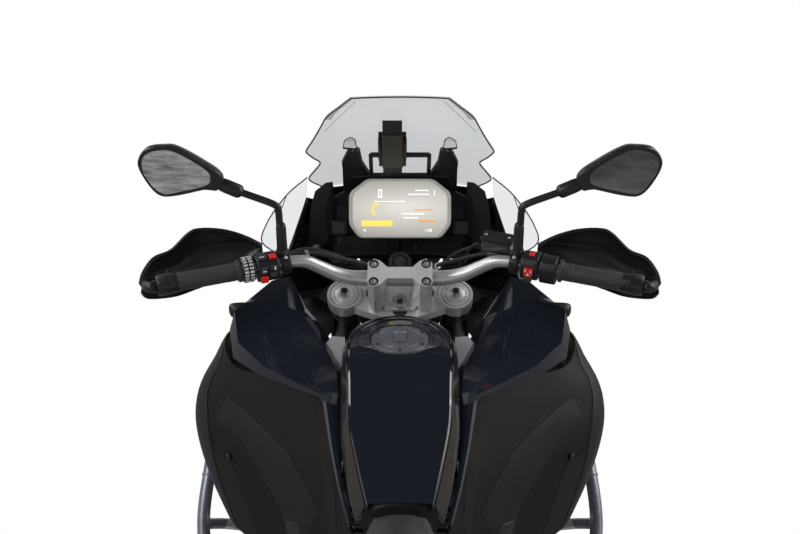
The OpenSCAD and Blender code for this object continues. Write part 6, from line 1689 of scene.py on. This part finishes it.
def make_shock():
    top, foot = Vector((0, -236, 752)), Vector((0, -300, 478))
    axis = (foot - top).normalized()
    across = axis.cross(Vector((1, 0, 0))).normalized()
    turns = 7
    n = turns * 28
    path = [top.lerp(foot, 0.255 + 0.571 * k / n) + 34 * (math.cos(2 * math.pi * k / 28) * Vector((1, 0,
                                                                                                   0)) +
                                                          math.sin(2 * math.pi * k / 28) * across)
            for k in range(n + 1)]
    piece("shock_spring", *sweep(path, 6.2, 12, axis), "spring", "chassis", replaces=("shock_absorber",))

    def tube(t0, t1, r):
        return sweep([top.lerp(foot, t0), top.lerp(foot, t1)], r, 40, (1, 0, 0))

    piece("shock_body", *join(tube(0.02, 0.56, 24), tube(0.2, 0.222, 42), tube(0.226, 0.24, 39),
                              tube(0.846, 0.88, 42)), "dark_metal", "chassis", smooth_angle=30)
    piece("shock_shaft", *tube(0.5, 0.9, 9), "polished", "chassis")
    eyes = join(*[moved(lathe([(CORE, -18), (15, -18), (16, -16), (16, 16), (15, 18), (CORE, 18)], 36),
                        Matrix.Translation(p) @ spun(90, "Y")) for p in (top, foot)])
    piece("shock_eyes", *join(eyes, tube(0.86, 0.98, 13)), "brushed", "chassis", smooth_angle=30)
    grooves = join(*[moved(lathe([(24.2, -1.6), (25.4, -1.2), (25.4, 1.2), (24.2, 1.6)], 40, closed=True),
                           along(top.lerp(foot, 0.1 + 0.012 * k), axis)) for k in range(8)])
    piece("shock_threads", *grooves, "brushed", "chassis")


# Seat, tail and rack
SEAT_ROWS = [(-92, 50, 916, 884), (-130, 66, 899, 862), (-200, 96, 882, 846), (-300, 134, 874, 838),
             (-420, 152, 880, 848), (-478, 152, 905, 856), (-520, 148, 930, 866), (-620, 140, 940, 876),
             (-760, 126, 944, 900), (-838, 96, 940, 914)]


def seat_sections(inset):
    out = []
    for y, w, t, b in SEAT_ROWS:
        h = t - b
        w, t, b = w - inset, t - inset, b + 1
        half = [(w * 0.9, b), (w, b + h * 0.3), (w * 0.97, b + h * 0.66), (w * 0.8, t - h * 0.12),
                (w * 0.4, t - 1), (0, t)]
        out.append([Vector((x, y, z)) for x, z in half] + [Vector((-x, y, z)) for x, z in half[-2::-1]])
    out[0] = [p + Vector((0, -inset, 0)) for p in out[0]]
    out[-1] = [p + Vector((0, inset, 0)) for p in out[-1]]
    return out


def make_seat():
    """Padded seat: a fine skin that is swelled as cloth over its foam, then sewn lines on top."""
    sections = seat_sections(5)
    fine = [smooth([s[j] for s in sections], 5) for j in range(len(sections[0]))]
    grid = [[column[i] for column in fine] for i in range(len(fine[0]))]
    seat = piece("seat_pad", *rings(grid), "seat", "chassis", smooth_angle=0, replaces=("seat",))
    mod = seat.modifiers.new("even", "REMESH")
    mod.mode = "VOXEL"
    mod.voxel_size = 0.006
    apply_shape(seat)
    rest = [v.co.copy() for v in seat.data.vertices]
    held = seat.vertex_groups.new(name="held")
    low = [v.index for v in seat.data.vertices if is_seat_base(v.co)]
    held.add(low, 1.0, "REPLACE")
    cloth = seat.modifiers.new("foam", "CLOTH")
    cloth.settings.use_pressure = True
    cloth.settings.uniform_pressure_force = 4.0
    cloth.settings.effector_weights.gravity = 0.0
    cloth.settings.quality = 6
    cloth.settings.vertex_group_mass = "held"
    scene = bpy.context.scene
    for frame_no in range(1, 21):
        scene.frame_set(frame_no)
    apply_shape(seat)
    scene.frame_set(1)
    cap = 0.009
    for v, start in zip(seat.data.vertices, rest):
        step = v.co - start
        if step.length > cap:
            v.co = start + step * (cap / step.length)
    seat.vertex_groups.clear()
    mod = seat.modifiers.new("smooth", "SUBSURF")
    mod.levels = mod.render_levels = 1
    apply_shape(seat)
    seat.data.shade_smooth()
    tree = BVHTree.FromObject(seat, bpy.context.evaluated_depsgraph_get())
    lines = []
    for k in (-0.72, 0.72):
        lines.append([(k * w, y) for y, w, *_ in SEAT_ROWS[1:-1]])
    lines.append([(x, -470 - 0.0006 * x * x) for x in range(-120, 121, 20)])
    lines.append([(x, -486 - 0.0006 * x * x) for x in range(-120, 121, 20)])
    for y in (-560, -620, -680, -740):
        lines.append([(x, y) for x in range(-78, 79, 13)])
    cords, stitches = [], []
    for line in lines:
        pts = []
        for p in smooth([Vector((x, y, 0)) for x, y in line], 6):
            hit = tree.ray_cast(Vector((p.x, p.y, 1100)) * MM, Vector((0, 0, -1)))
            if hit[0] is not None:
                pts.append(hit[0] / MM)
        if len(pts) > 3:
            cords.append(sweep(pts, 1.3, 8))
            for k in range(0, len(pts) - 1, 1):
                a, b = pts[k], pts[k + 1]
                d = (b - a).normalized()
                side = d.cross(Vector((0, 0, 1))).normalized() * 3.2
                stitches.append(sweep([a.lerp(b, 0.15) + side + Vector((0, 0, 0.5)),
                                       a.lerp(b, 0.7) + side + Vector((0, 0, 0.5))], 0.6, 5))
    piece("seat_seams", *join(*cords), "seat_seam", "chassis")
    piece("seat_stitches", *join(*stitches), "thread", "chassis")


def is_seat_base(co):
    """True for the points of the seat's underside, which rests on its base plate."""
    y = co.y / MM
    for (y0, *_, b0), (y1, *_, b1) in zip(SEAT_ROWS, SEAT_ROWS[1:]):
        if y1 <= y <= y0:
            k = (y0 - y) / (y0 - y1)
            return co.z / MM < b0 + (b1 - b0) * k + 9
    return True


def apply_shape(obj):
    """Writes the shape that the modifiers give into the mesh and takes the modifiers off."""
    bpy.context.view_layer.update()
    done = bpy.data.meshes.new_from_object(obj.evaluated_get(bpy.context.evaluated_depsgraph_get()))
    obj.modifiers.clear()
    obj.data = done


def make_tail():
    lens = prism(rounded([(-60, -18), (60, -18), (60, 12), (-60, 12)], 7, 4), -4, 3)
    at = along((0, -1070.5, 866), (0, -1, -0.16))
    piece("tail_lens", *moved(lens, at), "tail_red", "chassis", bevel=1.4)
    ribs = join(*[box(x, x + 1.6, -15, 9, 2.6, 3.8) for x in range(-52, 53, 8)])
    piece("tail_lens_ribs", *moved(ribs, at), "tail_red", "chassis", smooth_angle=0)
    frame_ring = rings([[(x * k, y * k, z) for x, y in rounded([(-63, -21), (63, -21), (63, 15),
                                                                (-63, 15)], 8, 4)] for k,
                        z in ((1, -34), (1, -1), (0.97, 1.5))])
    piece("tail_housing", *moved(frame_ring, at), "moulded_dark", "chassis", smooth_angle=30,
          replaces=("lamps",))
    shapes, lenses = [], []
    for s in (-1, 1):
        for x, y, z, way, arm in ((112, -1060, 830, -1, ((28, -1048, 829.6), (112, -1048, 829.6))),
                                  (312, 488, 920, 1, ((256, 468, 920), (300, 482, 920)))):
            shape = smooth([(-20, 0, 0), (-10, 15, 0), (8, 16, 0), (30, 13, 0), (34, 0, 0), (30, -13, 0),
                            (8, -16, 0), (-10, -15, 0)], 4, closed=True)
            face = [(p.x * 0.98 + 4, p.y * 0.98) for p in shape]
            body = rings([[(px * k, py * k, z0) for px, py in face]
                          for k, z0 in ((0.3, -17), (0.66, -14), (0.92, -8), (1.0, 0), (1.0, 4))])
            glass = rings([[(px * k, py * k, z0) for px, py in face] for k,
                           z0 in ((0.95, 3.6), (0.95, 6), (0.88, 8), (0.5, 9))])
            place = put(s * x, y, z) @ spun(-90 * way, "X")
            flip = Matrix.Scale(s, 4, (1, 0, 0))
            shapes.append(moved(body, place @ flip))
            lenses.append(moved(glass, place @ flip))
            a, b = [Vector((s * p[0], p[1], p[2])) for p in arm]
            shapes.append(sweep([a, a.lerp(b, 0.5), b], [7.2, 6.4, 7.6], 16))
    piece("indicator_bodies", *join(*shapes), "housing", "chassis", smooth_angle=40)
    piece("indicator_lenses", *join(*lenses), "amber", "chassis", smooth_angle=40)
    plate_at = along((0, -1148, 664), (0, -1, -0.14))
    plate = prism(rounded([(-88, -48), (88, -48), (88, 48), (-88, 48)], 8, 4), 0, 2.2)
    piece("blank_plate", *moved(plate, plate_at), "white_paint", "chassis", bevel=0.5)
    screws = join(*[moved(bolt_head(4, 2.4), put(x, 34, 2)) for x in (-60, 60)])
    piece("plate_screws", *moved(screws, plate_at), "polished", "chassis")
    lamp = moved(prism(rounded([(-22, -6), (22, -6), (22, 6), (-22, 6)], 4, 3), 0, 12),
                 along((0, -1138, 722), (0, -1, -0.5)))
    piece("plate_lamp", *lamp, "housing", "chassis", bevel=1.2)
    pads = join(*[box(x0, x1, y0, y1, 971, 973.6) for x0, x1 in ((-98, -58), (58, 98)) for y0,
                  y1 in ((-1004, -960), (-938, -896))])
    piece("rack_pads", *pads, "rubber", "chassis", bevel=1.2)
    heads = join(*[moved(bolt_head(6.4, 4), put(x, y, 971)) for x in (-88, 88) for y in (-1032, -868)])
    piece("rack_bolts", *heads, "polished", "chassis")
    rail = smooth([(139, -748, 882), (150, -776, 936), (152, -850, 966), (140, -1004, 966),
                   (110, -1050, 966)], 8)
    piece("rack_tubes", *both_sides(sweep(rail, 9.4, 22, (1, 0, 0))), "rack_black", "chassis")
    guard = [(-560, 70, 812), (-700, 80, 826), (-860, 76, 850), (-957, 62, 850), (-1040, 50, 838)]
    grid = fine_grid([[Vector((w * u, y, z - 18 * abs(u) ** 3 - 0.8))
                       for u in (-1, -0.7, -0.3, 0, 0.3, 0.7, 1)] for y, w, z in guard], 4)
    piece("tail_guard_skin", *shell(grid, 4), "moulded_dark", "chassis", smooth_angle=50)
    rows = [[(140, -420, 838), (139, -420, 790), (139, -430, 744)],
            [(148, -560, 858), (146, -560, 820), (134, -540, 780)],
            [(136, -740, 866), (134, -740, 848), (126, -720, 830)],
            [(112, -880, 884), (110, -884, 872), (104, -880, 862)]]
    cover = [[Vector(p) + Vector((1.0, 0, 0)) for p in r] for r in rows]
    skin = shell(fine_grid(cover, 6), -4)
    # Side covers of the tail in a lighter copy of the moulded finish: painted light
    piece("tail_covers", *both_sides(skin), "moulded_facet", "chassis", smooth_angle=50, bevel=0.6)
    caps = join(*[moved(bolt_head(6, 3), along(p, (1, 0, 0)))
                  for p in ((141.5, -470, 812), (142, -640, 846))])
    piece("tail_cover_bolts", *both_sides(caps), "dark_metal", "chassis")


# Front: lamp, fairing, beak, mudguard and fork
LAMP_FACE = [(-104, 1036), (-110, 980), (-86, 928), (86, 928), (110, 980), (104, 1036), (60, 1062),
             (-60, 1062)]


def lamp_ring(y, k):
    return [Vector((x * k, y, 985 + (z - 985) * k)) for x, z in rounded(LAMP_FACE, 14, 4)]


def make_front():
    piece("lamp_bowl", *rings([lamp_ring(690, 0.99), lamp_ring(640, 0.9), lamp_ring(610, 0.6)]),
          "moulded_dark", "chassis", smooth_angle=30, replaces=("headlight",))
    piece("lamp_bezel", *rings([lamp_ring(688, 1.0), lamp_ring(704, 1.0), lamp_ring(708, 0.985),
                                lamp_ring(708, 0.93), lamp_ring(692, 0.9)], closed=True), "gloss_black",
          "chassis", smooth_angle=30)
    piece("lamp_lens", *rings([lamp_ring(704, 0.96), lamp_ring(712, 0.96), lamp_ring(722, 0.9),
                               lamp_ring(725, 0.6)]), "lens", "chassis", smooth_angle=30)
    eyes, bowls = [], []
    for s in (-1, 1):
        at = put(s * 50, 688, 976) @ spun(-90, "X")
        eyes.append(moved(lathe([(CORE, 4), (24, 4), (24, 10), (21, 16), (12, 20.5), (CORE, 22)], 40),
                          at))
        bowls.append(moved(lathe([(25, 0), (36, 3), (38, 14), (36, 15.5), (27, 6)], 48, closed=True), at))
    piece("lamp_projectors", *join(*eyes), "projector", "chassis")
    piece("lamp_bowls", *join(*bowls), "polished", "chassis")
    strip = sweep([Vector((x, 700 - 0.0006 * x * x, 1040 - 0.0016 * x * x)) for x in range(-84, 85, 12)],
                  4.2, 12)
    piece("lamp_strip", *strip, "white_glow", "chassis")
    rows = [[(112, 712, 1040), (120, 716, 980), (116, 712, 900)],
            [(150, 660, 1078), (166, 664, 985), (152, 656, 884)],
            [(188, 604, 1118), (206, 596, 1000), (194, 588, 870)],
            [(212, 520, 1066), (240, 510, 980), (226, 500, 880)],
            [(236, 440, 1014), (268, 436, 960), (262, 430, 884)]]
    cheek = shell([smooth(r, 6) for r in [[Vector(p) for p in r] for r in rows]], -4)
    piece("fairing_cheeks", *both_sides(cheek), "gloss_black", "chassis", smooth_angle=18, bevel=1.0,
          replaces=("front_fairing",))
    brow = [[Vector((x, 664 + 40 * (1 - (x / 158) ** 2), 1070)),
             Vector((x, 640 + 20 * (1 - (x / 158) ** 2), 1120))] for x in (-158, -120, -75, -38, 0, 38,
                                                                           75, 120, 158)]
    piece("fairing_brow", *shell(brow, 4), "gloss_black", "chassis", smooth_angle=40, bevel=1.0)
    beak = [(576, 97, 926, 40), (640, 104, 908, 44), (760, 92, 884, 40), (880, 70, 860, 34),
            (970, 44, 838, 26), (1010, 20, 826, 16)]
    rows = [[Vector((w * u, y, z - d * abs(u) ** 3)) for u in (-1, -0.9, -0.8, -0.55, -0.3, 0, 0.3, 0.55,
                                                               0.8, 0.9, 1)] for y, w, z, d in beak]
    columns = [smooth([r[j] for r in rows], 5) for j in range(11)]
    grid = [[c[i] for c in columns] for i in range(len(columns[0]))]
    piece("beak_skin", *shell(grid, 4), "gloss_black", "chassis", smooth_angle=30, bevel=1.0)
    posts = [moved(lathe([(CORE, 0), (7, 0), (7, 32.3), (CORE, 32.3)], 20), put(40, 660, 899))]
    piece("beak_posts", *both_sides(join(*posts)), "satin_black", "chassis")
    vents = []
    for k in range(3):
        a = Vector((140 + 10 * k, 690 - 18 * k, 960))
        vents.append(sweep([a + Vector((6, 0, 0)), a + Vector((14, -22, -8)), a + Vector((18, -42, -18))],
                           [2.4, 3.2, 1.2], 10))
    piece("fairing_vents", *both_sides(join(*vents)), "moulded_dark", "chassis")
    spots = join(*[moved(bolt_head(5.5, 3), along(p, d)) for p, d in (((177, 640, 1050), (0.8, 0.5, 0.3)),
                                                                    ((224, 548, 990), (0.9, 0.3, 0.1)))])
    piece("fairing_bolts", *both_sides(spots), "dark_metal", "chassis")
    section = [(-66, -34), (-60, -12), (-34, 0), (0, 5), (34, 0), (60, -12), (66, -34)]
    line = smooth([Vector((x, z, 0)) for x, z in section], 4)
    grid = []
    for a in range(28, 161, 4):
        w = 0.72 + 0.28 * min(1.0, max(0.0, (a - 28) / 12))
        c, s = math.cos(math.radians(a)), math.sin(math.radians(a))
        grid.append([Vector((p.x * w, FRONT_MID.y + (372 + p.y) * c, FRONT_MID.z + (372 + p.y) * s))
                     for p in line])
    piece("mudguard_skin", *shell(grid, -4), "moulded", "steering", smooth_angle=50, bevel=0.8)
    studs = []
    for a, x in ((96, 62.5), (116, 62.5)):
        c, s = math.cos(math.radians(a)), math.sin(math.radians(a))
        studs.append(moved(bolt_head(5.5, 3), along((x, FRONT_MID.y + 352 * c, FRONT_MID.z + 352 * s),
                                                    (1, 0, 0))))
    piece("mudguard_bolts", *both_sides(join(*studs)), "dark_metal", "steering")


def make_fork():
    tubes, bands, wipers = [], [], []
    for s in (-1, 1):
        at = put(s * FORK_X, TUBE_Y, 0)
        tubes.append(moved(lathe([(CORE, 652), (27.6, 652), (27.6, 690), (27.3, 692), (27.3, 1121),
                                  (CORE, 1121)], 56), at))
        wipers.append(moved(lathe([(21.7, 640), (25, 641), (26, 646), (26, 652), (21.7, 652)], 48,
                                  closed=True), at))
        for z in (925, 1060):
            bands.append(moved(lathe([(27.3, z - 3), (28.6, z - 2.4), (28.6, z + 2.4), (27.3, z + 3)], 56,
                                     closed=True), at))
    piece("fork_sleeves", *join(*tubes), "satin_black", "steering", STEER, smooth_angle=40)
    piece("fork_wipers", *join(*wipers), "rubber", "steering", STEER)
    piece("fork_bands", *join(*bands), "dark_metal", "steering", STEER)


# Stands, pegs, brakes and swingarm
AXLE_RISE = 356.38


def make_running_gear():
    teeth = []
    for k in range(9):
        for j in range(6):
            teeth.append(moved(lathe([(CORE, 0), (2.0, 0), (1.0, 3.4), (CORE, 3.4)], 8),
                               put(174.4 + 10 * k, -96 + 8 * j, 322.6)))
    piece("peg_teeth", *both_sides(join(*teeth)), "polished", "chassis", smooth_angle=30)
    shell_pads = [moved(lathe([(CORE, 0), (9.8, 0), (9.8, 46), (8.6, 48), (CORE, 48)], 24),
                        put(-236, 74, 310) @ spun(90, "Y"))]
    piece("gear_lever_pad", *join(*shell_pads), "rubber", "chassis")
    grips = [moved(lathe([(CORE, 0), (13, 0), (13, 60), (12, 62), (CORE, 62)], 20),
                   put(170, -429, 500) @ spun(90, "Y"))]
    rims = [moved(lathe([(12.6, k), (14.0, k + 1), (14.0, k + 4), (12.6, k + 5)], 24, closed=True),
                  put(170, -429, 500) @ spun(90, "Y")) for k in range(3, 58, 8)]
    piece("passenger_peg_rubbers", *both_sides(join(*grips, *rims)), "rubber", "chassis")
    bolts("pivot_caps", [(144.2, -190, 430)], (1, 0, 0), 13, 6, "chassis", "polished")
    bolts("pivot_caps_left", [(-144.2, -190, 430)], (-1, 0, 0), 13, 6, "chassis", "polished")
    heads = join(*[moved(bolt_head(5, 4), along((126, y, z), (1, 0, 0))) for y,
                   z in ((-150, 545), (-210, 500), (-232, 340))])
    piece("plate_bolts", *both_sides(heads), "polished", "chassis")
    arm = join(*[moved(bolt_head(4.4, 4), along((125.4, y, z), (1, 0, 0))) for y,
                 z in ((-300, 418), (-520, 384), (-700, 352))])
    piece("swingarm_bolts", *both_sides(arm), "dark_metal", "chassis")
    slots = []
    for s in (-1, 1):
        for k in range(5):
            slots.append(box(s * 126 - 0.8, s * 126 + 0.8, -824 + 7 * k, -822.6 + 7 * k, 326, 331))
    piece("adjuster_marks", *join(*slots), "white_paint", "chassis", smooth_angle=0)
    guard = [[Vector((-80 - 4 * j, y, z + (12 if j < 2 else 0))) for j in range(4)]
             for y, z in ((-300, 472), (-420, 468), (-560, 460), (-680, 452))]
    piece("chain_guard", *shell(fine_grid(guard, 3), 3), "satin_black", "chassis", bevel=0.6)
    calls = [moved(bolt_head(9, 7), along((125, -232, 268), (1, 0, 0)))]
    piece("stand_bolts", *both_sides(join(*calls)), "polished", "chassis")
    ring = join(*[moved(lathe([(15.2, z0), (16.6, z0 + 0.8), (16.6, z0 + 2.4), (15.2, z0 + 3.2)], 28,
                              closed=True), put(107 + 4 * i, -232, 268) @ spun(90, "Y")) for i,
                  z0 in enumerate((0, 2))])
    piece("stand_collars", *both_sides(ring), "brushed", "centre_stand")
    lean = put(0, -105.2 + 71, AXLE_RISE + 54) @ spun(-32, "X")
    pots, pins = [], []
    for z in (-26, 22):
        pots.append(moved(lathe([(CORE, 0), (17, 0), (17, 4), (14, 6.5), (9, 6.5), (8, 4.5), (CORE, 4.5)],
                                36), lean @ put(91.7, -4, z) @ spun(90, "Y")))
    for z in (-44, 44):
        pins.append(moved(bolt_head(5.5, 6), lean @ put(91.7, -24, z * 0.9) @ spun(90, "Y")))
    piece("caliper_pots", *both_sides(join(*pots)), "dark_metal", "steering", STEER)
    piece("caliper_bolts", *both_sides(join(*pins)), "polished", "steering", STEER)
    back = put(0.5, -788.523 + 118, 343 + 61.4) @ spun(-28, "X")
    pot = join(moved(lathe([(CORE, 0), (16, 0), (16, 4), (12, 7), (CORE, 7)], 36),
                     back @ put(97.6, -2, 0) @ spun(90, "Y")),
               *[moved(bolt_head(5, 5), back @ put(97.6, y, 14) @ spun(90, "Y"))
                 for y in (-32, 32)])
    piece("rear_caliper_parts", *pot, "polished", "chassis")


make_camera()
make_world()
make_floor()
for light in LIGHTS:
    area_light(*light)
finish_cad()

for make in (make_display, make_yoke, make_handlebar, make_grips, make_switchgear, make_levers,
             make_mirrors, make_hand_guards, make_screen, make_cockpit, make_cables, make_tank_cover,
             make_filler_cap, make_body_panels, make_side_details, make_wheels, make_chain, make_engine,
             make_exhaust, make_tubes, make_shock, make_seat, make_tail, make_front, make_fork,
             make_running_gear):
    make()

bpy.context.scene.view_settings.view_transform = "Standard"
